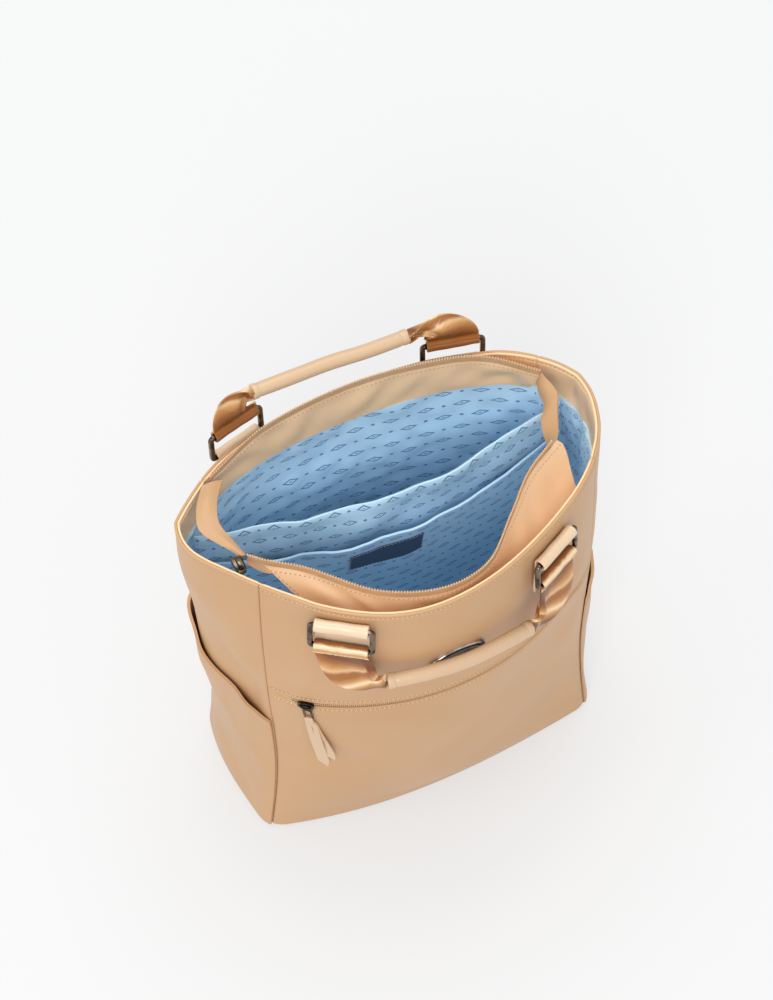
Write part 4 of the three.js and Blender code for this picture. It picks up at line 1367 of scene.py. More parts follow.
@dataclass
class Mouth:
    """Rim facing, the two zip facings with their tracks, loose zip ends and the slider."""

    walls: SoftWalls
    looks: Finishes
    track: float = 0.007
    tail_width: float = 0.017
    facing: float = 0.0013
    rear: tuple[MouthRow, ...] = (
        MouthRow(-0.95, 0.86, 0.0),
        MouthRow(-0.6, 1.22, 0.18),
        MouthRow(-0.1, 1.37, 0.28),
        MouthRow(0.32, 1.32, 0.23),
        MouthRow(0.68, 1.14, 0.08),
        MouthRow(0.93, 0.64, 0.0),
    )
    front: tuple[MouthRow, ...] = (
        MouthRow(-0.955, -0.47, -0.1),
        MouthRow(-0.89, -0.68, 0.0),
        MouthRow(-0.72, -1.0, 0.0),
        MouthRow(-0.42, -1.75, 0.0),
        MouthRow(-0.1, -2.05, 0.0),
        MouthRow(0.16, -1.93, 0.0),
        MouthRow(0.4, -1.35, 0.0),
        MouthRow(0.6, -0.82, 0.0),
        MouthRow(0.79, -0.5, 0.0),
    )
    left_tail: tuple[MouthRow, ...] = (
        MouthRow(-1.01, 0.79, 0.0, 0.1),
        MouthRow(-1.09, 0.48, 0.0, 0.0),
        MouthRow(-1.13, 0.155, -0.02, 0.0),
        MouthRow(-1.1, -0.16, -0.06, 0.1),
        MouthRow(-1.06, -0.38, -0.12, 0.3),
    )
    right_tail: tuple[MouthRow, ...] = (
        MouthRow(0.936, 0.618, 0.0, 1.0),
        MouthRow(0.965, 0.27, -0.05, 0.8),
        MouthRow(0.925, 0.03, -0.1, 0.6),
        MouthRow(0.86, -0.33, -0.12, 0.9),
        MouthRow(0.815, -0.48, -0.1, 1.0),
    )

    @property
    def form(self) -> BagForm:
        """The bag's form."""
        return self.walls.form

    def curve(self, rows: Sequence[MouthRow]) -> SmoothCurve:
        """Curve through rows."""
        return SmoothCurve([row.point(self.form) for row in rows])

    def build(self) -> None:
        """Build all pieces of the mouth."""
        self.rim_facing()
        self.band("rear", self.rear, Wall.BACK, (0.955, 0.02))
        self.band("front", self.front, Wall.FRONT, (0.04, 0.955))
        self.tail("left", self.left_tail, 1)
        self.tail("right", self.right_tail, -1)
        self.slider()

    def rim_facing(self) -> None:
        """Band of cloth inside the rim, with a seam at each corner."""
        form = self.form
        place = np.linspace(0, 4, 481)[:-1]
        rows = edge_spaced(form.rim_facing_height, 16, 0.0016, STITCHED)
        p = np.repeat(place[:, None], len(rows), axis=1)
        z = form.lining_top + np.repeat(rows[None, :], len(place), axis=0)
        near = np.abs(place - np.round(place))[:, None] * 0.2
        groove = 0.0009 * bell(near, 0.0012)
        puff = 0.0006 * np.sin(self.walls.run(p) * 150 + 1.4 * np.sin(z * 120))
        calm = step_up(form.height - z, 0.004, 0.014)
        drawn = (0.0008 + self.walls.groove) * bell(form.height - z - self.walls.rim_stitch, 0.0012)
        sink = rolled(form.height - z, 0.0011)
        fold = rolled(form.height - z, 0.0008)
        inner = form.facing_offset - form.facing + sink + groove + drawn - puff * calm * 0.6
        face = self.walls.point(p, z, np.minimum(inner, -0.0026 - fold))
        back = self.walls.point(p, z, -0.0025 - fold)
        # The band finish is a lightened copy of the coated cloth: painted light for the shaded inside of the
        # rim.
        piece = cloth_grid("rim_lining", face, back, grid_uv(face), self.looks.band, closed=True)
        ride(piece, Slot.CLOTH, "rim_facing")
        stitches = Stitches()
        rim = np.linspace(0, 4, 900)
        height = np.full(rim.shape, form.height - self.walls.rim_stitch)
        depth = form.facing_offset - form.facing + 0.0008 + self.walls.groove
        stitches.line(self.walls.point(rim, height, depth), -self.walls.out(rim, height))
        ride(stitches.build("rim_stitches", self.looks.thread, self.looks.brown), Slot.CLOTH)

    def band_grid(
        self,
        rows: Sequence[MouthRow],
        wall: Wall,
        ends: tuple[float, float],
        counts: tuple[int, int],
        first: float,
    ) -> tuple[Array, Array]:
        """Grid of a facing's middle surface from a share on, and its upper line."""
        form = self.form
        share = np.linspace(first, 1, counts[0])
        upper = self.curve(rows)(share)
        top = upper - np.array([0, 0, self.track / 2 + 0.0004])
        offset = form.facing_offset - form.facing - form.drape - form.seat - form.facing / 2
        place = wall.value + mix(ends[0], ends[1], share)
        foot = form.point(place, form.lining_top + form.seat, offset)
        v = np.linspace(0, 1, counts[1])[None, :, None]
        grid = foot[:, None, :] * (1 - v) + top[:, None, :] * v
        if wall is Wall.FRONT:
            flap = 0.009 * step_up(share, 0.93, 1.0)[:, None] * step_up(v[..., 0], 0.1, 0.9)
            flap = flap * (1 - 0.25 * step_up(v[..., 0], 0.9, 1.0))
            grid[..., 0] += flap
            grid[..., 1] += 0.5 * flap
        return grid, upper

    def band(
        self, name: str, rows: Sequence[MouthRow], wall: Wall, ends: tuple[float, float]
    ) -> None:
        """One zip facing with its tape, coil and stitches."""
        first = 0.118 if wall is Wall.FRONT else 0.0
        grid, upper = self.band_grid(rows, wall, ends, (200, 26), first)
        normal = grid_normals(grid)
        run = run_length(upper)[:, None]
        v = np.linspace(0, 1, 26)[None, :]
        slack = SoftNoise(31 if wall is Wall.BACK else 37, 0.05)
        wrinkle = slack(run + 0 * v, v * 0.03) * np.sin(math.pi * v) ** 1.2
        grid = grid + normal * (0.0013 * wrinkle)[..., None]
        # Both finishes are lightened copies of the coated cloth: painted light for the facings in the bag's
        # shade.
        finish = self.looks.band if name == "rear" else self.looks.inside
        facing = even_sheet(f"facing_{name}", grid, self.facing, finish)
        ride(facing, Slot.CLOTH, f"zip_facing_{name}")
        if wall is Wall.FRONT:
            self.loose_end(rows, first)
        inward = 1 if wall is Wall.BACK else -1
        side = grid_normals(grid) * inward
        w = np.linspace(-0.5, 0.36, 8)
        rise = np.array([0.0, 0.0, 1.0])
        upper = self.curve(rows)(np.linspace(0, 1, 220))
        tape_line = upper[:, None, :] + w[None, :, None] * self.track * rise
        tape = even_sheet(f"tape_{name}", tape_line, 0.0009, self.looks.tape)
        ride(tape, Slot.COIL, f"zip_track_{name}")
        teeth = RepeatAlong(0.0023, (0.0014, 0.0018, 0.0040), jitter=0.03)
        coil = upper + rise * self.track * 0.40
        teeth.line(coil, copies(rise, len(coil)))
        ride(teeth.build(f"coil_{name}", self.looks.coil), Slot.COIL)
        stitches = Stitches()
        for face in (1, -1):
            line = grid[:, 23] + side[:, 23] * face * (self.facing / 2)
            stitches.line(line[2:-2], side[2:-2, 23] * face)
            if wall is Wall.FRONT:
                stitches.line(grid[3, :23] + side[3, :23] * face * self.facing / 2, side[3, :23] * face)
        piece = stitches.build(f"stitches_{name}", self.looks.thread, self.looks.brown)
        ride(piece, Slot.CLOTH)

    def loose_end(self, rows: Sequence[MouthRow], last: float) -> None:
        """Free strip between the slider and the front facing's left edge."""
        share = np.linspace(0.0, last + 0.03, 30)
        upper = self.curve(rows)(share) - np.array([0, 0, self.track / 2 + 0.0004])
        wide = mix(0.0085, 0.0125, step_up(share, 0.0, last))
        v = np.linspace(0, 1, 10)
        grid = upper[:, None, :] - v[None, :, None] * wide[:, None, None] * np.array([0, 0, 1.0])
        grid[..., 1] += 0.0016 * np.sin(math.pi * v)[None, :] + 0.0010
        # The inside finish is a lightened copy of the coated cloth: painted light for the shaded mouth.
        piece = even_sheet("facing_front_end", grid, 0.0011, self.looks.inside)
        ride(piece, Slot.CLOTH)

    def tail(self, name: str, rows: Sequence[MouthRow], inward: int) -> None:
        """One loose zip end."""
        share = np.linspace(0, 1, 90)
        line = self.curve(rows)(share)
        leans = SmoothCurve([(k, row.lean, 0.0) for k, row in enumerate(rows)])(share)[:, 1]
        leans = np.clip(leans, 0, 1)
        across = np.stack([inward * np.sqrt(1 - leans**2), 0 * leans, -leans], axis=1)
        v = np.linspace(0, 1, 15)
        narrow = 0.66 * step_up(share, 0.45, 1.0)[:, None] if name == "left" else 0.0
        wide = (narrow + v[None, :] * (1 - narrow)) * self.tail_width + 0 * share[:, None]
        grid = line[:, None, :] + across[:, None, :] * wide[..., None]
        normal = grid_normals(grid)
        belly = np.sin(math.pi * v)[None, :] * (0.0016 + 0.0008 * np.sin(share * 9))[:, None]
        grid = grid + normal * belly[..., None] * (1 if inward > 0 else -1)
        piece = even_sheet(f"tail_{name}", grid, 0.0014, self.looks.cloth)
        ride(piece, Slot.CLOTH, f"zip_tail_{name}")
        length = float(run_length(grid[:, 7])[-1])
        coil = RepeatAlong(0.0016, (0.0010, 0.0016, 0.0022), jitter=0.03)
        coil.line(grid[1:-1, -1], normal[1:-1, -1])
        ride(coil.build(f"tail_coil_{name}", self.looks.tape), Slot.CLOTH)

    def slider(self) -> None:
        """Slider at the front end of the left loose zip end."""
        end = np.array(self.left_tail[-1].point(self.form))
        centre = end + np.array([self.tail_width / 2.5, -0.0086, 0.0])
        x, y, z = np.eye(3)
        frame_at = LocalFrame(centre, y, -x, z)
        piece = slider_body("mouth_runner", frame_at, (0.016, 0.010, 0.007), self.looks.metal)
        ride(piece, Slot.METAL, "mouth_slider")


def slider_body(
    name: str, at: LocalFrame, size: tuple[float, float, float], material: Finish
) -> Piece:
    """Zip slider: a waisted body with an arched bridge.

    Args:
        name: Name of the piece.
        at: Frame at the slider's middle, with the zip along e1.
        size: Length, width and height.
        material: Finish of the slider.

    Returns:
        The finished piece.
    """
    length, width, height = size
    share = np.linspace(-1, 1, 25)
    rings = []
    for s in share:
        round_end = math.sqrt(max(0.0, 1 - abs(s) ** 6))
        waist = 1 - 0.22 * (1 - s) / 2 * 1.2
        outline = rounded_rectangle(max(width * waist * (0.45 + 0.55 * round_end), 1e-4), height * 0.62 * (0.5 + 0.5 * round_end), 0.0006)
        rings.append(at.at(np.full(len(outline), s * length / 2), outline[:, 0], outline[:, 1] - height * 0.15))
    body = tube(name, np.array(rings), material)
    turn = np.linspace(0, math.pi, 17)
    arch = [at.at(math.cos(a) * length * 0.34, 0.0, height * (0.12 + 0.36 * math.sin(a))) for a in turn]
    arch = np.array(arch).reshape(-1, 3)
    ring = sections_along(arch, copies(at.e2, len(arch)), lambda s: oval(width * 0.3, height * 0.2, 12, 0.6))
    bridge = tube(f"{name}_bridge", ring, material)
    return joined([body, bridge])


def joined(parts: Sequence[Piece]) -> Piece:
    """The first piece with the others' meshes joined into it; they keep their materials."""
    first = parts[0]
    slots = list(first.data.materials)
    work = bmesh.new()
    work.from_mesh(first.data)
    for other in parts[1:]:
        material = other.data.materials[0]
        if material not in slots:
            slots.append(material)
            first.data.materials.append(material)
        number = slots.index(material)
        before = len(work.faces)
        work.from_mesh(other.data)
        work.faces.ensure_lookup_table()
        for face in work.faces[before:]:
            face.material_index = number
        bpy.data.objects.remove(other)
    work.to_mesh(first.data)
    work.free()
    return first


@dataclass
class Interior:
    """Lining, padded divider, slip pocket and patch."""

    walls: SoftWalls
    looks: Finishes
    pad: float = 0.005
    top: float = 0.326
    foot_depth: float = 0.032
    bow: float = 0.027
    slip_top: float = 0.291
    slip_foot: float = 0.110
    slip_thickness: float = 0.0012
    slip_stand: float = 0.013
    half_run: float = 0.145
    patch_size: tuple[float, float] = (0.060, 0.030)
    patch_across: float = -0.010
    patch_drop: float = 0.094

    @property
    def form(self) -> BagForm:
        """The bag's form."""
        return self.walls.form

    @property
    def wall_foot(self) -> float:
        """Height where the walls start."""
        return 0.004 + self.form.seat

    @property
    def base(self) -> float:
        """Height where the divider starts."""
        return self.wall_foot + self.form.lining + 3 * self.form.seat

    def build(self) -> None:
        """Build all pieces of the inside."""
        self.lining()
        self.divider()
        self.slip_pocket()
        self.patch()

    def lining(self) -> None:
        """Lining wall with soft folds, and the floor."""
        form = self.form
        place = np.linspace(0, 4, 361)[:-1]
        z = np.linspace(self.wall_foot, form.lining_top - form.seat, 90)
        p = np.repeat(place[:, None], len(z), axis=1)
        zz = np.repeat(z[None, :], len(place), axis=0)
        folds = SoftNoise(41, 0.06)
        creases = SoftNoise(43, 0.022)
        run = self.walls.run(p)
        share = step_up(zz, 0.02, 0.1)
        inward = 0.0011 * (1 + folds(run, zz * 0.4)) + 0.0005 * (1 + creases(run, zz * 0.7))
        offset = form.facing_offset - form.lining - inward * share
        offset = np.minimum(offset, form.facing_offset - form.lining * 0.8)
        face = self.walls.point(p, zz, offset)
        back = self.walls.point(p, zz, form.facing_offset - 0.0001)
        uv = np.stack([run, zz], axis=-1)
        wall = cloth_grid("lining", face, back, uv, self.looks.lining, closed=True)
        ride(wall, Slot.LINING, "lining_wall")
        foot = self.wall_foot + form.lining + form.seat
        rings = []
        for height, offset in ((foot - form.lining, 0.0), (foot, 0.0)):
            ring = form.point(place[::2], self.wall_foot, form.facing_offset - form.lining - form.drape)
            ring[:, 2] = height
            rings.append(ring)
        floor = tube("lining_base", np.array(rings), self.looks.lining)
        ride(floor, Slot.LINING, "lining_floor")

    def divider_point(self, a: Array, z: Array) -> Array:
        """Middle surface of the divider, a from -1 to 1 across the bag."""
        a, z = np.broadcast_arrays(np.asarray(a, float), np.asarray(z, float))
        form = self.form
        t = (z - self.base) / (self.top - self.base)
        depth = self.foot_depth - self.bow * t * (1 - np.abs(a) ** 1.5)
        offset = form.facing_offset - form.lining - form.drape - self.pad / 2
        levels = np.linspace(self.base, self.top, 24)
        left = [form.inside_x(Wall.LEFT, self.foot_depth, h, offset) for h in levels]
        right = [form.inside_x(Wall.RIGHT, self.foot_depth, h, offset) for h in levels]
        x = mix(np.interp(z, levels, left), np.interp(z, levels, right), (a + 1) / 2)
        return np.stack([x, depth, z], axis=-1)

    def divider(self) -> None:
        """The padded divider, slack at its upper edge."""
        a = np.linspace(-1, 1, 150)
        z = np.linspace(self.base, self.top, 110)
        grid = self.divider_point(a[:, None], z[None, :])
        up = (z - self.base) / (self.top - self.base)
        drop = 0.004 * step_up(up, 0.6, 1.0)[None, :] * (1 - np.abs(a) ** 2.2)[:, None]
        ripple = SoftNoise(51, 0.07)(a[:, None] * self.half_run, z[None, :])
        small = SoftNoise(53, 0.028)(a[:, None] * self.half_run, z[None, :] * 0.6)
        soft = step_up(up, 0.2, 0.9)[None, :] * (0.0011 * ripple + 0.0002 * small)
        grid[..., 1] += soft * (1 - np.abs(a) ** 6)[:, None]
        grid[..., 2] -= drop
        edge_top = rolled((self.top - z)[None, :] + 0 * a[:, None], self.pad / 2)
        edge_side = rolled((1 - np.abs(a))[:, None] * 0.14 + 0 * z[None, :], self.pad / 2)
        seam = 0.0011 * bell((self.top - z) - 0.016, 0.0016)[None, :]
        full = np.maximum(self.pad - 2 * edge_top - 2 * edge_side - 2 * seam, 0.0009)
        uv = np.stack(np.meshgrid(a * self.half_run, z, indexing="ij"), axis=-1)
        piece = even_sheet("padded_divider", grid, full, self.looks.lining, uv)
        ride(piece, Slot.LINING, "divider")

    def slip_point(self, a: Array, z: Array) -> Array:
        """Middle surface of the slip pocket."""
        a, z = np.broadcast_arrays(np.asarray(a, float), np.asarray(z, float))
        t = (z - self.slip_foot) / (self.slip_top - self.slip_foot)
        point = self.divider_point(a * 0.99, z)
        stand = self.slip_stand * t * (1 - a * a)
        point[..., 1] -= stand + (self.pad + self.slip_thickness) / 2 + 2 * self.form.seat
        return point

    def slack_slip(self, a: Array, z: Array) -> Array:
        """Grid of the slip pocket with soft waves and a mouth that sags."""
        grid = self.slip_point(a[:, None], z[None, :])
        up = (z - self.slip_foot) / (self.slip_top - self.slip_foot)
        wave = SoftNoise(61, 0.05)(a[:, None] * self.half_run, z[None, :] * 0.5)
        small = SoftNoise(63, 0.02)(a[:, None] * self.half_run, z[None, :] * 0.5)
        calm = (1 - np.abs(a) ** 6)[:, None] * step_up(up, 0.1, 0.9)[None, :]
        grid[..., 1] -= calm * (0.0008 + 0.0008 * wave + 0.0001 * small)
        grid[..., 2] -= 0.003 * step_up(up, 0.7, 1.0)[None, :] * (1 - np.abs(a) ** 2)[:, None]
        return grid

    def slip_pocket(self) -> None:
        """Thin pocket on the divider with a hemmed, slightly slack mouth."""
        a = np.linspace(-1, 1, 150)
        z = np.linspace(self.slip_foot, self.slip_top, 80)
        grid = self.slack_slip(a, z)
        hem = 0.0008 * step_up(self.slip_top - z, 0.008, 0.006)[None, :]
        seam = 0.0005 * bell((self.slip_top - z) - 0.0075, 0.0008)[None, :]
        thick = self.slip_thickness + hem - seam + 0 * a[:, None]
        uv = np.stack(np.meshgrid(a * self.half_run + 0.003, z + 0.009, indexing="ij"), axis=-1)
        piece = even_sheet("slip_pocket_cloth", grid, thick, self.looks.lining, uv)
        ride(piece, Slot.LINING, "slip_pocket")
        width = float(run_length(grid[:, 40])[-1])
        length = float(run_length(grid[75])[-1])

    def patch(self) -> None:
        """Blank patch sewn on the slip pocket."""
        width, height = self.patch_size
        u = edge_spaced(width, 30, 0.0005) / width - 0.5
        v = edge_spaced(height, 16, 0.0005) / height
        a = (self.patch_across + u * width) / (self.form.width / 2)
        z = self.form.height - self.patch_drop - (1 - v) * height
        grid = self.slack_slip(a, z)
        grid[..., 1] -= (self.slip_thickness + 0.0008) / 2 + 0.0001
        piece = even_sheet("patch", grid, 0.0009, self.looks.patch)
        ride(piece, Slot.LABEL, "label_patch")
        border = Stitches(0.003, (0.0022, 0.0007, 0.0005))
        normal = -grid_normals(grid)
        for line, side in (
            (grid[2:-2, 4], normal[2:-2, 4]),
            (grid[2:-2, -5], normal[2:-2, -5]),
            (grid[4, 2:-2], normal[4, 2:-2]),
            (grid[-5, 2:-2], normal[-5, 2:-2]),
        ):
            out = side * np.sign(-side[:, 1:2])
            border.line(line + out * 0.0005, out)
        piece = border.build("patch_stitches", self.looks.pale, self.looks.patch)
        ride(piece, Slot.LABEL)


@dataclass(frozen=True)
class Fold:
    """One section of bunched webbing, in shares of the ring's width and degrees."""

    inward: float
    away: float
    out: float
    turn: float
    width: float
    round: float


HANGING = (
    Fold(0.0, 0.154, 0.0, 0, 1.0, 0.0),
    Fold(0.046, 0.26, 0.03, 8, 1.0, 0.0),
    Fold(0.11, 0.41, 0.07, 17, 1.0, 0.02),
    Fold(0.185, 0.56, 0.09, 28, 0.97, 0.05),
    Fold(0.3, 0.7, 0.09, 43, 0.84, 0.15),
    Fold(0.44, 0.79, 0.07, 60, 0.6, 0.4),
    Fold(0.57, 0.8, 0.05, 76, 0.38, 0.7),
    Fold(0.67, 0.78, 0.04, 90, 0.27, 1.0),
)
STANDING = (
    Fold(0.0, 0.154, 0.0, 0, 1.0, 0.0),
    Fold(-0.03, 0.24, 0.0, 10, 0.9, 0.05),
    Fold(-0.02, 0.34, 0.01, 33, 0.8, 0.15),
    Fold(0.07, 0.43, 0.03, 57, 0.62, 0.4),
    Fold(0.22, 0.44, 0.05, 76, 0.4, 0.7),
    Fold(0.35, 0.4, 0.06, 90, 0.27, 1.0),
)
LYING = (
    Fold(0.0, 0.154, 0.0, 0, 1.0, 0.0),
    Fold(0.03, 0.23, 0.0, 6, 1.0, 0.0),
    Fold(0.1, 0.32, 0.02, 22, 0.9, 0.05),
    Fold(0.2, 0.38, 0.04, 43, 0.72, 0.2),
    Fold(0.36, 0.39, 0.06, 65, 0.5, 0.5),
    Fold(0.52, 0.36, 0.05, 80, 0.34, 0.8),
    Fold(0.67, 0.3, 0.04, 90, 0.27, 1.0),
)


@dataclass(frozen=True)
class RingPlace:
    """Where a ring sits and which way its handle goes."""

    name: str
    wall: Wall
    across: float
    height: float
    inward: int
    drop: float
    folds: tuple[Fold, ...]


def ring_frame(
    name: str,
    at: LocalFrame,
    size: tuple[float, float],
    bar: tuple[float, float],
    corner: float,
    material: Finish,
) -> Piece:
    """Rectangular ring in the plane of e1 and e2 about a frame's origin.

    Args:
        name: Name of the piece.
        at: Frame at the ring's middle.
        size: Outer width and height.
        bar: Width and thickness of the bar.
        corner: Outer corner radius.
        material: Finish of the ring.

    Returns:
        The finished piece.
    """
    path = rounded_rectangle(size[0] - bar[0], size[1] - bar[0], max(corner - bar[0] / 2, 0.0012), 7)
    section = rounded_rectangle(bar[0], bar[1], min(bar) * 0.36, 5)
    around = len(path)
    tangent = unit(np.roll(path, -1, axis=0) - np.roll(path, 1, axis=0))
    rings = []
    for k in range(around):
        normal = np.array([tangent[k, 1], -tangent[k, 0]])
        x = path[k, 0] + normal[0] * section[:, 0]
        y = path[k, 1] + normal[1] * section[:, 0]
        rings.append(at.at(x, y, section[:, 1]))
    return tube(name, np.array(rings), material, closed=True)


def wound(
    name: str,
    at: LocalFrame,
    path: Array,
    width: float,
    thickness: float,
    material: Finish,
    crown: float = 0.0,
    ragged: float = 0.0,
) -> Piece:
    """Strip of cloth whose side view is a path.

    Args:
        name: Name of the piece.
        at: Frame with the strip's width along e1 and the path in e2 and e3.
        path: Rows of height and out, from one end of the strip to the other.
        width: Width of the strip.
        thickness: Thickness of the cloth.
        material: Finish of the strip.
        crown: How much the strip swells in its middle.
        ragged: Unevenness of the first end's edge.

    Returns:
        The finished piece.
    """
    across = edge_spaced(width, 24, thickness / 2) - width / 2
    tangent = lengthwise(path)
    normal = np.stack([-tangent[:, 1], tangent[:, 0]], axis=1)
    swell = crown * (1 - (2 * across / width) ** 2)
    noise = SoftNoise(len(name) + 71, 0.02)
    grid = np.zeros((len(path), len(across), 3))
    normals = np.zeros_like(grid)
    run = run_length(path)
    fringe = np.random.RandomState(len(name)).uniform(-1, 1, len(across)) * ragged
    for j, x in enumerate(across):
        soft = swell[j] + 0.00014 * noise(np.full(len(path), x), run)
        y = path[:, 0] + normal[:, 0] * soft - tangent[:, 0] * bell(run, 0.0012) * fringe[j]
        z = path[:, 1] + normal[:, 1] * soft
        grid[:, j] = at.at(np.full(len(path), x), y, z)
        normals[:, j] = normal[:, :1] * at.e2 + normal[:, 1:] * at.e3
    side = rolled(width / 2 - np.abs(across), thickness / 2)
    half = np.maximum(thickness / 2 - side, 0.00012)[None, :, None]
    uv = np.stack(np.meshgrid(run, across, indexing="ij"), axis=-1)
    return cloth_grid(name, grid + normals * half, grid - normals * half, uv, material)


@dataclass
class Handles:
    """Front and back handle: rings, tabs, wound webbing, bunched webbing, grips and badge."""

    walls: SoftWalls
    looks: Finishes
    ring_width: float = 0.054
    pitch: float = 0.026
    bar: tuple[float, float] = (0.0045, 0.004)
    corner: float = 0.005
    tab: tuple[float, float, float] = (0.043, 0.042, 0.0022)
    web: tuple[float, float, float] = (0.043, 0.0015, 0.0032)
    grip: float = 0.013
    grip_rise: tuple[float, float] = (0.006, 0.001)
    badge_size: tuple[float, float, float] = (0.050, 0.024, 0.003)
    badge_across: float = -0.009
    badge_drop: float = 0.084
    rings: tuple[RingPlace, ...] = (
        RingPlace("front_left", Wall.FRONT, -0.65, 0.965, 1, 0.83, HANGING),
        RingPlace("front_right", Wall.FRONT, 0.56, 0.938, -1, 1.0, HANGING),
        RingPlace("back_right", Wall.BACK, -0.56, 0.95, 1, 1.0, LYING),
        RingPlace("back_left", Wall.BACK, 0.7, 0.965, -1, 1.0, STANDING),
    )

    @property
    def hole(self) -> float:
        """Radius of the hole round a bar."""
        return math.hypot(*self.bar) / 2 + self.walls.form.seat

    @property
    def tab_out(self) -> float:
        """How far out the tab's bar lies."""
        return self.hole + self.tab[2] + self.walls.form.seat

    @property
    def free_out(self) -> float:
        """How far out the free bar lies."""
        return self.tab[2] + self.hole + self.web[1] + 2 * self.walls.form.seat

    def build(self) -> None:
        """Build both handles and the badge."""
        ends = {ring.name: self.end(ring) for ring in self.rings}
        over = self.badge_size[2] + self.grip / 2 + 3 * self.walls.form.drape
        near = self.grip / 2 + self.walls.form.seat
        self.build_grip("front", ends["front_left"], ends["front_right"], Wall.FRONT, self.grip_rise[0], over)
        self.build_grip("back", ends["back_left"], ends["back_right"], Wall.BACK, self.grip_rise[1], near)
        self.badge()

    def end(self, ring: RingPlace) -> tuple[Array, Array]:
        """One end of a handle.

        Args:
            ring: Where it sits.

        Returns:
            The point where the grip starts and a point further along the grip.
        """
        form = self.walls.form
        frame_at = form.frame(form.on(ring.wall, ring.across), ring.height * form.height)
        away = -1 if ring.wall is Wall.FRONT else 1
        tilt = math.asin((self.free_out - self.tab_out) / self.pitch)
        up = frame_at.e2 * away * math.cos(tilt) + frame_at.e3 * math.sin(tilt)
        middle = frame_at.at(0, 0, self.tab_out) + up * self.pitch / 2
        plane = LocalFrame(middle, frame_at.e1, up, np.cross(frame_at.e1, up))
        size = (self.ring_width, self.pitch + self.bar[0])
        metal = ring_frame(f"handle_ring_{ring.name}", plane, size, self.bar, self.corner, self.looks.metal)
        ride(metal, Slot.METAL, f"ring_{ring.name}")
        self.tab_roll(ring, frame_at)
        start = away * self.pitch
        bar_at = frame_at.moved(frame_at.at(0, start, self.free_out))
        self.web_roll(ring, bar_at, away)
        self.bunch(ring, frame_at, away, start)
        last = ring.folds[-1]
        end = frame_at.at(
            ring.inward * (last.inward * self.ring_width + form.seat),
            start + away * self.folded(last, ring.drop),
            self.free_out + last.out * self.ring_width,
        )
        return end, end + frame_at.e1 * ring.inward * self.grip / 2

    def folded(self, row: Fold, drop: float) -> float:
        """How far a section of webbing lies from its bar."""
        first = HANGING[0].away
        return (first + (row.away - first) * drop) * self.ring_width

    def tab_roll(self, ring: RingPlace, at: LocalFrame) -> None:
        """Tab that lies on the wall and is wound round the ring's upper bar."""
        width, length, cloth = self.tab
        radius = self.hole + cloth / 2
        flap = np.linspace(-length, -0.001, 24)
        path = [(y, self.tab_out - radius) for y in flap]
        for angle in np.linspace(0, math.radians(292), 44):
            path.append((radius * math.sin(angle), self.tab_out - radius * math.cos(angle)))
        piece = wound(f"tab_{ring.name}", at, np.array(path), width, cloth, self.looks.tab, 0.0003)
        ride(piece, Slot.GRIP, f"ring_tab_{ring.name}")

    def web_roll(self, ring: RingPlace, at: LocalFrame, away: int) -> None:
        """Webbing wound round the free bar, with its cut end outside."""
        width, cloth, tail = self.web
        radius = self.hole + cloth / 2
        reach = radius + tail
        path = []
        for y in np.linspace(-reach - 0.0012, -radius * 0.72, 12):
            lift = mix(cloth * 0.6, radius * 0.62, step_up(y, -reach, -radius * 0.6))
            path.append((y, float(lift)))
        for angle in np.linspace(math.radians(40), math.radians(310), 50):
            path.append((-radius * math.cos(angle), radius * math.sin(angle)))
        for y in np.linspace(-radius * 0.72, -reach, 10):
            sink = mix(-cloth * 0.6, -radius * 0.66, step_up(y, -reach, -radius * 0.6))
            path.append((y, float(sink)))
        path = np.array(path)
        path[:, 0] *= -away
        piece = wound(
            f"web_roll_{ring.name}", at, path, width, cloth, self.looks.roll, 0.0002, 0.0005
        )
        ride(piece, Slot.STRAP, f"webbing_loop_{ring.name}")
        x = np.linspace(-width / 2, width / 2, 30)
        fray = RepeatAlong(0.0013, (0.0014, 0.0009, 0.0009), jitter=0.4)
        cut = at.at(x, np.full(30, path[0, 0]), np.full(30, path[0, 1] + cloth / 2))
        fray.line(cut, copies(at.e3, 30))
        ride(fray.build(f"web_fray_{ring.name}", self.looks.frayed), Slot.STRAP)

    def bunch(self, ring: RingPlace, at: LocalFrame, away: int, start: float) -> None:
        """Webbing that turns from the free bar to the grip and curls into its end."""
        keys = np.array(
            [
                [f.inward, self.folded(f, ring.drop), f.out, f.turn, f.width, f.round]
                for f in ring.folds
            ]
        )
        fine = np.linspace(0, 1, 64)
        place, shape = SmoothCurve(keys[:, :3])(fine), SmoothCurve(keys[:, 3:])(fine)
        band, cloth, _ = self.web
        s = np.linspace(-1, 1, 61)
        grid = np.zeros((len(fine), len(s), 3))
        for k in range(len(fine)):
            turn = math.radians(shape[k, 0])
            wide = shape[k, 1] * band
            curl = float(np.clip(shape[k, 2], 0, 1))
            reach = 2.6 * curl + 1e-3
            x = np.sin(s * reach) / max(math.sin(min(reach, math.pi / 2)), 1e-3)
            deep = (np.cos(s * reach) - 1) / 2 * curl
            middle = math.sin(math.pi * min(fine[k] * 1.05, 1))
            pleats = 0.0013 * np.sin(s * 9.0) * bell(s - 0.4, 0.5) * step_up(fine[k], 0.3, 0.75)
            bowl = 0.0030 * bell(s + 1.0, 0.5) - 0.0050 * bell(s - 0.1, 0.55)
            fold = 0.0044 * bell(s - 0.74, 0.14) - 0.0030 * bell(s - 0.48, 0.13)
            fold = fold * step_up(fine[k], 0.2, 0.55)
            ripple = middle * bowl * (1 - 0.9 * step_up(fine[k], 0.55, 1.0)) + (pleats + fold) * middle
            across = x * wide / 2
            out = self.free_out + place[k, 2] * self.ring_width
            thick = out + deep * self.grip * 0.82 + curl * self.grip * 0.36 + ripple
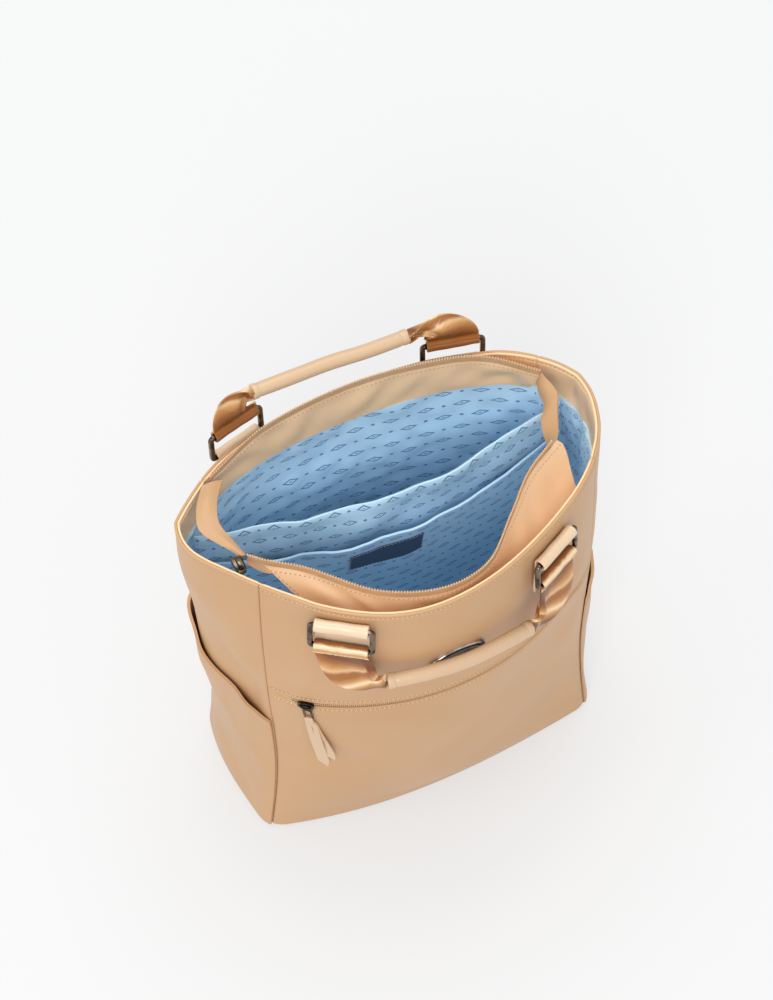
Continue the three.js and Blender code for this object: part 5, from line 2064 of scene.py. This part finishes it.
            cx = ring.inward * (place[k, 0] * self.ring_width + across * math.cos(turn))
            cy = start + away * (place[k, 1] - across * math.sin(turn))
            grid[k] = at.at(cx, cy, thick)
        side = rolled((1 - np.abs(s)) * band / 2, cloth / 2)
        thickness = np.maximum(cloth - 2 * side, 0.0003)[None, :] + 0 * fine[:, None]
        along = run_length(grid[:, len(s) // 2])
        uv = np.stack(np.meshgrid(along, s * band / 2, indexing="ij"), axis=-1)
        piece = even_sheet(f"web_bunch_{ring.name}", grid, thickness, self.looks.bunch, uv)
        ride(piece, Slot.STRAP, f"webbing_{ring.name}")

    def build_grip(
        self,
        name: str,
        start: tuple[Array, Array],
        finish: tuple[Array, Array],
        wall: Wall,
        rise: float,
        stand: float,
    ) -> None:
        """Grip of rolled cloth between two handle ends."""
        form = self.walls.form
        half = form.width / 2
        inner = []
        for u in (0.28, 0.5, 0.72):
            x = mix(start[0][0], finish[0][0], u) / half
            z = mix(start[0][2], finish[0][2], u) + rise * (1 - (2 * u - 1) ** 2)
            place = form.on(wall, x if wall is Wall.FRONT else -x)
            point = form.point(place, min(z, form.height), stand)
            inner.append((point[0], point[1], z))
        line = SmoothCurve([start[0], *inner, finish[0]]).evenly(120)
        run = run_length(line)
        bend = SoftNoise(81 + wall.value, 0.05)
        up = np.repeat(np.array([[0.0, 0.0, 1.0]]), len(line), axis=0)
        total = run[-1]

        def profile(share: float) -> Array:
            """Section with a seam beneath and a hem at both ends."""
            d = min(share, 1 - share) * total
            hem = 0.0004 * float(step_up(0.006 - d, 0, 0.001)) - 0.0004 * float(bell(d - 0.0065, 0.0008))
            end = float(rolled(np.array(d), 0.0009))
            outline = oval(1, 1, 36)
            angle = np.arctan2(outline[:, 1], outline[:, 0])
            seam = 0.0006 * bell(np.abs(angle) - math.pi, 0.16)
            radius = self.grip / 2 - 0.0004 + hem - end - seam
            radius = radius + 0.00005 * bend(angle * 0.01, np.full(angle.shape, share * total))
            return outline / 0.5 * radius[:, None]

        rings = sections_along(line, up, profile)
        piece = tube(f"handle_grip_{name}", rings, self.looks.grip)
        ride(piece, Slot.GRIP, f"grip_{name}")

    def badge(self) -> None:
        """Plain oval badge with a raised edge and a stepped, bare middle."""
        form = self.walls.form
        place = form.on(Wall.FRONT, self.badge_across / (form.width / 2))
        at = form.frame(place, form.height - self.badge_drop)
        width, height, thick = self.badge_size
        rim = (
            (0.80, 0.0003), (1.0, 0.0003), (1.0, 0.0018), (0.985, 0.0025), (0.955, 0.0030),
            (0.90, 0.0031), (0.875, 0.0028), (0.855, 0.0020), (0.80, 0.0019),
        )
        plate = (
            (0.86, 0.0004), (0.86, 0.0020), (0.84, 0.0021), (0.70, 0.0021), (0.68, 0.0026),
            (0.66, 0.0027), (0.62, 0.0024), (0.40, 0.0026), (0.1, 0.0028),
        )
        angle = np.linspace(0, 2 * math.pi, 73)[:-1]
        parts = []
        for part, steps, finish in (("edge", rim, self.looks.bright), ("plate", plate, self.looks.plate)):
            rings = []
            for share, lift in steps:
                inset = (1 - share) * height / 2
                x = (width / 2 - inset) * np.cos(angle)
                y = (height / 2 - inset) * np.sin(angle)
                rings.append(at.at(x, y, np.full(x.shape, lift)))
            parts.append(tube(f"oval_badge_{part}", np.array(rings), finish))
        ride(joined(parts[::-1]), Slot.METAL, "badge")


@dataclass
class PocketPull:
    """Slider, wire loop and cloth pull of the front pocket zip."""

    body: Body
    looks: Finishes
    across: float = -0.82
    size: tuple[float, float, float] = (0.014, 0.009, 0.005)
    loop: tuple[float, float, float] = (0.008, 0.016, 0.0016)
    strip: tuple[float, float, float] = (0.010, 0.078, 0.0024)
    lean: float = 8.0

    def build(self) -> None:
        """Build the slider and the pull."""
        form = self.body.form
        place = form.on(Wall.FRONT, self.across)
        at = form.frame(place, float(self.body.zip_line(place)))
        length, width, height = self.size
        seat = form.seat
        slider_at = at.moved(at.at(0, 0, height / 2 + seat))
        piece = slider_body("pocket_runner", slider_at, self.size, self.looks.metal)
        ride(piece, Slot.METAL, "pocket_slider")
        hanging = at.turned(math.radians(self.lean))
        loop_width, loop_length, wire = self.loop
        hang = -(width / 2 + 2 * seat + loop_length / 2)
        loop_at = hanging.moved(hanging.at(0, hang, height / 2 + seat))
        ring = ring_frame(
            "pull_wire", loop_at, (loop_width, loop_length), (wire, wire), loop_width / 2.5, self.looks.metal
        )
        ride(ring, Slot.METAL, "pull_loop")
        self.strips(hanging, hang - loop_length / 2)

    def strips(self, at: LocalFrame, top: float) -> None:
        """Two layers of cloth that hang from the wire loop with pointed ends."""
        width, length, thick = self.strip
        seat = self.body.form.seat
        parts = []
        for number, (reach, swing, lift) in enumerate(((1.0, 0.0, 1.0), (0.83, 0.0085, 0.35))):
            run = np.linspace(-0.004, length * reach, 60)
            s = np.linspace(-1, 1, 9)
            share = np.clip(run / length / reach, 0, 1)
            half = width / 2 * (0.68 + 0.32 * step_up(share, 0.0, 0.14)) * (1 + 0 * share)
            tip = step_up(share, 0.88, 1.0)
            left = -half + tip * width * 0.72
            right = half - tip * width * 0.24
            x = mix(left[:, None], right[:, None], (s[None, :] + 1) / 2)
            x = x + swing * (share**1.6)[:, None]
            y = top - run[:, None] + 0 * x
            wave = 0.0014 * np.sin(share * 5.5 + number)
            out = seat + thick * 0.5 * lift + wave[:, None] * share[:, None] + 0.0006
            out = out + 0.002 * bell(run, 0.006)[:, None] + 0 * x
            grid = at.at(x, y, out)
            parts.append(even_sheet("pull_cloth" if not number else "pull_back", grid, 0.0011, self.looks.grip))
        piece = joined(parts)
        ride(piece, Slot.GRIP, "pull_tab")
        stitch = RepeatAlong(0.0026, (0.0024, 0.0006, 0.0004), jitter=0.0)
        y = np.linspace(top - 0.012, top - 0.024, 12)
        line = at.at(np.zeros(12), y, np.full(12, seat + thick * 0.5 + 0.0014))
        stitch.line(line, copies(at.e3, 12))
        ride(stitch.build("pull_stitches", self.looks.brown), Slot.GRIP)


@dataclass
class SidePocket:
    """Open pocket on a side wall with a slanting hemmed mouth."""

    walls: SoftWalls
    looks: Finishes
    wall: Wall
    front: float = 0.168
    back: float = 0.238
    stand: float = 0.008
    foot: float = 0.0012

    def mouth(self, place: Array) -> Array:
        """Height of the mouth's edge at places."""
        share = place - self.wall.value
        if self.wall is Wall.LEFT:
            share = 1 - share
        return mix(self.front, self.back, share)

    def gap(self, share: Array, across: Array) -> Array:
        """How far the pocket stands off: most near its two ends, where it gapes."""
        gape = bell(across + 0.68, 0.2) + bell(across - 0.7, 0.2)
        return (share**1.5) * (self.stand * 0.32 * np.maximum(1 - across**2, 0) + 0.0034 * gape)

    def build(self) -> None:
        """Build the pocket and its stitches."""
        name = self.wall.name.lower()
        run = edge_spaced(1.0, 56, 0.012)
        place = self.wall.value + 0.004 + run * 0.992
        top = self.mouth(place)
        v = edge_spaced(1.0, 60, 0.008)
        p = np.repeat(place[:, None], len(v), axis=1)
        z = self.foot + v[None, :] * (top[:, None] - self.foot)
        across = 2 * (p - self.wall.value) - 1
        noise = SoftNoise(91 + self.wall.value, 0.06)
        open_by = self.gap(v[None, :], across)
        soft = 0.0005 * noise(self.walls.run(p), z) * np.maximum(1 - across**2, 0) * step_up(z, 0.01, 0.05)
        edge = rolled((1 - np.abs(across)) * 0.065, 0.0016) + rolled(z - self.foot, 0.0016)
        below = (top[:, None] - z)
        hem = 0.0008 * step_up(0.0085 - below, 0, 0.0015) - 0.0004 * bell(below - 0.0085, 0.0009)
        base = np.where(z < 0.006, rolled(z - 0.0003, 0.0042), 0.0)
        inner = 0.0004 + open_by + soft - base
        face = self.walls.point(p, z, inner + 0.0018 + hem - np.minimum(edge, 0.0016))
        back = self.walls.point(p, z, inner)
        piece = cloth_grid(f"side_pocket_cloth_{name}", face, back, grid_uv(face), self.looks.cloth)
        ride(piece, Slot.CLOTH, f"side_pocket_{name}")
        stitches = Stitches()
        line = np.linspace(0.02, 0.98, 140) + self.wall.value
        height = self.mouth(line) - 0.0085
        u = 2 * (line - self.wall.value) - 1
        lifted = 0.0004 + self.gap(height / self.mouth(line), u)
        lifted = lifted + 0.0005 * noise(self.walls.run(line), height) * (1 - u**2) + 0.0018
        stitches.line(self.walls.point(line, height, lifted), self.walls.out(line, height))
        piece = stitches.build(f"side_pocket_stitches_{name}", self.looks.thread, self.looks.brown)
        ride(piece, Slot.CLOTH)


@dataclass(frozen=True)
class Plumping:
    """Cloth simulation that fills a padded piece and rounds it out."""

    pressure: float = 4.0
    frames: int = 20
    cap: float = 0.0016

    def fill(self, piece: Piece) -> None:
        """Swell a piece in place.
        """
        before = self.places(piece.data)
        cloth = piece.modifiers.new("cloth", "CLOTH")
        cloth.settings.use_pressure = True
        cloth.settings.uniform_pressure_force = self.pressure
        cloth.settings.effector_weights.gravity = 0.0
        cloth.point_cache.frame_end = self.frames
        scene = bpy.context.scene
        for number in range(1, self.frames + 1):
            scene.frame_set(number)
        ready = piece.evaluated_get(bpy.context.evaluated_depsgraph_get())
        move = self.places(ready.data) - before
        piece.modifiers.remove(cloth)
        scene.frame_set(1)
        far = np.linalg.norm(move, axis=1, keepdims=True)
        move = move * np.minimum(1.0, self.cap / np.maximum(far, 1e-9))
        piece.data.vertices.foreach_set("co", (before + move).ravel())
        finer = piece.modifiers.new("finer", "SUBSURF")
        finer.levels = finer.render_levels = 1
        keep_plain(piece)
        piece.data.shade_smooth()
        piece.data.set_sharp_from_angle(angle=math.radians(60))
        LOG.info("%s: swollen by up to %.4f m", piece.name, float(far.max()))

    @staticmethod
    def places(mesh: bpy.types.Mesh) -> Array:
        """Vertex places of a mesh."""
        flat = np.zeros(3 * len(mesh.vertices))
        mesh.vertices.foreach_get("co", flat)
        return flat.reshape(-1, 3)


@dataclass(frozen=True)
class Behind:
    """Place behind the back wall, in shares of half width, strap width and height."""

    across: float
    behind: float
    height: float


@dataclass
class ShoulderStraps:
    """Yoke, two padded straps, buckles, lower straps and corner tabs on the back."""

    walls: SoftWalls
    looks: Finishes
    width: float = 0.052
    start_thick: float = 0.0062
    plumping: Plumping = field(default_factory=Plumping)
    lower_width: float = 0.025
    yoke: tuple[float, float, float] = (0.104, 0.046, 0.003)
    yoke_drop: float = 0.040
    corner_tab: tuple[float, float, float] = (0.030, 0.046, 0.003)
    corner_across: float = 0.84
    corner_height: float = 0.036
    buckle: tuple[float, float, float, float] = (0.034, 0.024, 0.005, 0.004)
    line: tuple[Behind, ...] = (
        Behind(0.22, 0.17, 0.9),
        Behind(0.26, 0.42, 0.84),
        Behind(0.34, 0.72, 0.68),
        Behind(0.44, 0.74, 0.5),
        Behind(0.56, 0.6, 0.36),
    )
    lower: tuple[Behind, ...] = (Behind(0.7, 0.36, 0.22), Behind(0.79, 0.112, 0.15))

    def point(self, row: Behind, side: int) -> Array:
        """A place behind the back wall."""
        form = self.walls.form
        z = row.height * form.height
        back = form.point(form.on(Wall.BACK, -side * row.across), z)
        return np.array([side * row.across * form.width / 2, back[1] + row.behind * self.width, z])

    def build(self) -> None:
        """Build everything on the back."""
        form = self.walls.form
        at = form.frame(form.on(Wall.BACK, 0), form.height - self.yoke_drop)
        self.plate("yoke", at, self.yoke, "strap_yoke")
        for name, side in (("left", -1), ("right", 1)):
            self.strap(name, side)

    def press_seams(self, pad: Piece, line: Array, level: Array) -> None:
        """Press a sewn channel and a thin binding along both edges of a filled strap."""
        points = Plumping.places(pad.data)
        tangent = lengthwise(line)
        across = unit(level - tangent * np.sum(level * tangent, axis=1, keepdims=True))
        up = np.cross(tangent, across)
        nearest = np.argmin(np.linalg.norm(points[:, None, :] - line[None, :, :], axis=2), axis=1)
        off = points - line[nearest]
        x = np.sum(off * across[nearest], axis=1)
        centre = points - across[nearest] * x[:, None]
        run = run_length(line)[nearest] + np.sum(off * tangent[nearest], axis=1)
        middle = np.stack([np.interp(run, run_length(line), line[:, k]) for k in range(3)], axis=1)
        high = np.sum((centre - middle) * up[nearest], axis=1)
        from_edge = self.width / 2 - np.abs(x)
        press = 0.5 * bell(from_edge - 0.0062, 0.0016) + 0.35 * step_up(0.0062 - from_edge, 0.0, 0.003)
        moved = points - up[nearest] * (high * np.minimum(press, 0.6))[:, None]
        pad.data.vertices.foreach_set("co", moved.ravel())
        pad.data.update()

    def plate(self, name: str, at: LocalFrame, size: tuple[float, float, float], node: str) -> None:
        """Sewn-on plate of doubled cloth with stitches round its edge."""
        width, height, thick = size
        radius = height / 6
        outline = rounded_rectangle(width, height, radius, 6)
        rings = []
        for inset, lift in ((0.0, 0.0009), (0.0, 0.0022), (0.0004, 0.0030), (0.0012, 0.0037), (0.0022, 0.0039), (0.0034, 0.0036), (0.0046, 0.0040), (0.012, 0.0045)):
            scale = np.array([(width / 2 - inset) / (width / 2), (height / 2 - inset) / (height / 2)])
            rings.append(at.at(outline[:, 0] * scale[0], outline[:, 1] * scale[1], np.full(len(outline), lift)))
        piece = tube(name, np.array(rings), self.looks.cloth)
        ride(piece, Slot.CLOTH, node)
        stitches = Stitches()
        loop = np.vstack([outline, outline[:1]])
        loop = respaced(loop, 160)
        line = at.at(loop[:, 0] * (1 - 0.0068 / width), loop[:, 1] * (1 - 0.0068 / height), np.full(160, 0.0037))
        stitches.line(line, copies(at.e3, 160))
        ride(stitches.build(f"{name}_stitches", self.looks.thread, self.looks.brown), Slot.CLOTH)

    def strap(self, name: str, side: int) -> None:
        """One shoulder strap with its buckle, lower strap and corner tab."""
        seat = self.walls.form.seat
        curve = SmoothCurve([self.point(row, side) for row in self.line])
        line = curve.evenly(130)
        tangent = lengthwise(line)
        flat = np.array([[1.0, 0.0, 0.0]])
        level = np.repeat(flat, len(line), axis=0)
        total = run_length(line)[-1]
        noise = SoftNoise(101 + side, 0.04)

        def profile(share: float) -> Array:
            """Plain soft section, a little thinner than the filled strap."""
            d = min(share, 1 - share) * total
            shape = oval(self.width - 0.002, self.start_thick, 64, 0.5)
            end = max(0.0, 1 - d / 0.011)
            round_end = math.sqrt(1 - end * end)
            full = 0.3 + 0.7 * round_end
            wave = 0.0005 * noise(shape[:, 0], np.full(64, share * total))
            narrow = 0.72 + 0.28 * round_end
            return np.stack([shape[:, 0] * narrow, shape[:, 1] * full + wave], axis=1)

        rings = sections_along(line, level, profile)
        pad = tube(f"strap_pad_{name}", rings, self.looks.cloth)
        self.plumping.fill(pad)
        self.press_seams(pad, line, level)
        ride(pad, Slot.CLOTH, f"shoulder_strap_{name}")
        end = line[-1]
        down = tangent[-1] * np.array([0, 1, 1])
        down = down / np.linalg.norm(down)
        width, height, bar, thick = self.buckle
        start = end + down * (height + 3 * seat)
        low = SmoothCurve([start, *(self.point(row, side) for row in self.lower)]).evenly(60)
        s = np.linspace(-0.5, 0.5, 15)
        grid = low[:, None, :] + s[None, :, None] * self.lower_width * flat[0]
        thickness = np.maximum(0.0015 - 2 * rolled((0.5 - np.abs(s)) * self.lower_width, 0.0006), 0.0003)
        web = even_sheet(f"lower_web_{name}", grid, thickness[None, :] + np.zeros((60, 1)), self.looks.strap)
        ride(web, Slot.STRAP, f"lower_strap_{name}")
        middle = end + down * (height / 2 + seat)
        at = LocalFrame(middle, flat[0], down, np.cross(flat[0], down))
        metal = ring_frame(f"buckle_{name}", at, (width, height), (bar, thick), bar, self.looks.metal)
        ride(metal, Slot.METAL, f"strap_buckle_{name}")
        form = self.walls.form
        corner = form.frame(form.on(Wall.BACK, -side * self.corner_across), self.corner_height)
        self.plate(f"corner_tab_{name}", corner, self.corner_tab, f"strap_tab_{name}")


@dataclass
class Studio:
    """Pale floor, soft lights and the camera."""

    target: tuple[float, float, float] = (0.028, 0.090, 0.180)
    stand: tuple[float, float, float] = (-0.780, -1.725, 3.182)
    lens: float = 154.8
    floor_tone: Rgb = (0.33, 0.33, 0.33)
    floor_glow: float = 0.51
    key: float = 130.0
    top: float = 70.0
    fill: float = 26.0
    sky: float = 0.80

    def build(self) -> None:
        """Build the studio."""
        self.floor()
        self.lamp("key", (-2.1, -3.6, 4.2), (0.0, 0.0, 0.2), 2.2, self.key)
        self.lamp("top", (0.4, 1.2, 4.6), (0.0, 0.0, 0.3), 3.0, self.top)
        self.lamp("side", (-4.2, 0.4, 2.6), (0.0, 0.0, 0.2), 1.6, self.fill)
        world = bpy.data.worlds.new("studio")
        world.use_nodes = True
        sky = world.node_tree.nodes["Background"]
        sky.inputs["Color"].default_value = (0.96, 0.98, 1.0, 1.0)
        sky.inputs["Strength"].default_value = self.sky
        scene = bpy.context.scene
        scene.world = world
        scene.view_settings.view_transform = "Standard"
        camera = bpy.data.cameras.new("camera")
        camera.lens = self.lens
        camera.sensor_width = 36
        camera.clip_start, camera.clip_end = 0.05, 60
        holder = bpy.data.objects.new("camera", camera)
        scene.collection.objects.link(holder)
        holder.location = self.stand
        aim = Vector(self.target) - Vector(self.stand)
        holder.rotation_euler = aim.to_track_quat("-Z", "Y").to_euler()
        scene.camera = holder

    def floor(self) -> None:
        """Wide pale floor."""
        mesh = bpy.data.meshes.new("floor")
        w = 25.0
        mesh.from_pydata([(-w, -w, 0), (w, -w, 0), (w, w, 0), (-w, w, 0)], [], [(0, 1, 2, 3)])
        shader = Shader("floor")
        mesh.materials.append(
            shader.finish(
                Base_Color=self.floor_tone,
                Roughness=0.8,
                Specular_IOR_Level=0.0,
                Emission_Color=(1.0, 1.0, 1.0),
                Emission_Strength=self.floor_glow,
            )
        )
        piece = bpy.data.objects.new("floor", mesh)
        piece.location = (0, 0, -0.0004)
        bpy.context.scene.collection.objects.link(piece)

    def lamp(self, name: str, place: Sequence[float], aim: Sequence[float], size: float, power: float) -> None:
        """Square soft light.

        Args:
            name: Name of the light.
            place: Where it hangs.
            aim: Where it points.
            size: Side of the light.
            power: Power in watts.
        """
        light = bpy.data.lights.new(name, "AREA")
        light.size = size
        light.energy = power
        holder = bpy.data.objects.new(name, light)
        holder.location = place
        toward = Vector(aim) - Vector(place)
        holder.rotation_euler = toward.to_track_quat("-Z", "Y").to_euler()
        bpy.context.scene.collection.objects.link(holder)


def main() -> None:
    """Build the whole bag in order."""
    logging.basicConfig(level=logging.INFO, format="%(name)s: %(message)s")
    looks = Finishes()
    walls = SoftWalls()
    body = Body(walls, looks)
    body.build()
    Mouth(walls, looks).build()
    Interior(walls, looks).build()
    Handles(walls, looks).build()
    PocketPull(body, looks).build()
    SidePocket(walls, looks, Wall.LEFT).build()
    SidePocket(walls, looks, Wall.RIGHT).build()
    ShoulderStraps(walls, looks).build()
    Studio().build()


if __name__ == "__main__":
    main()
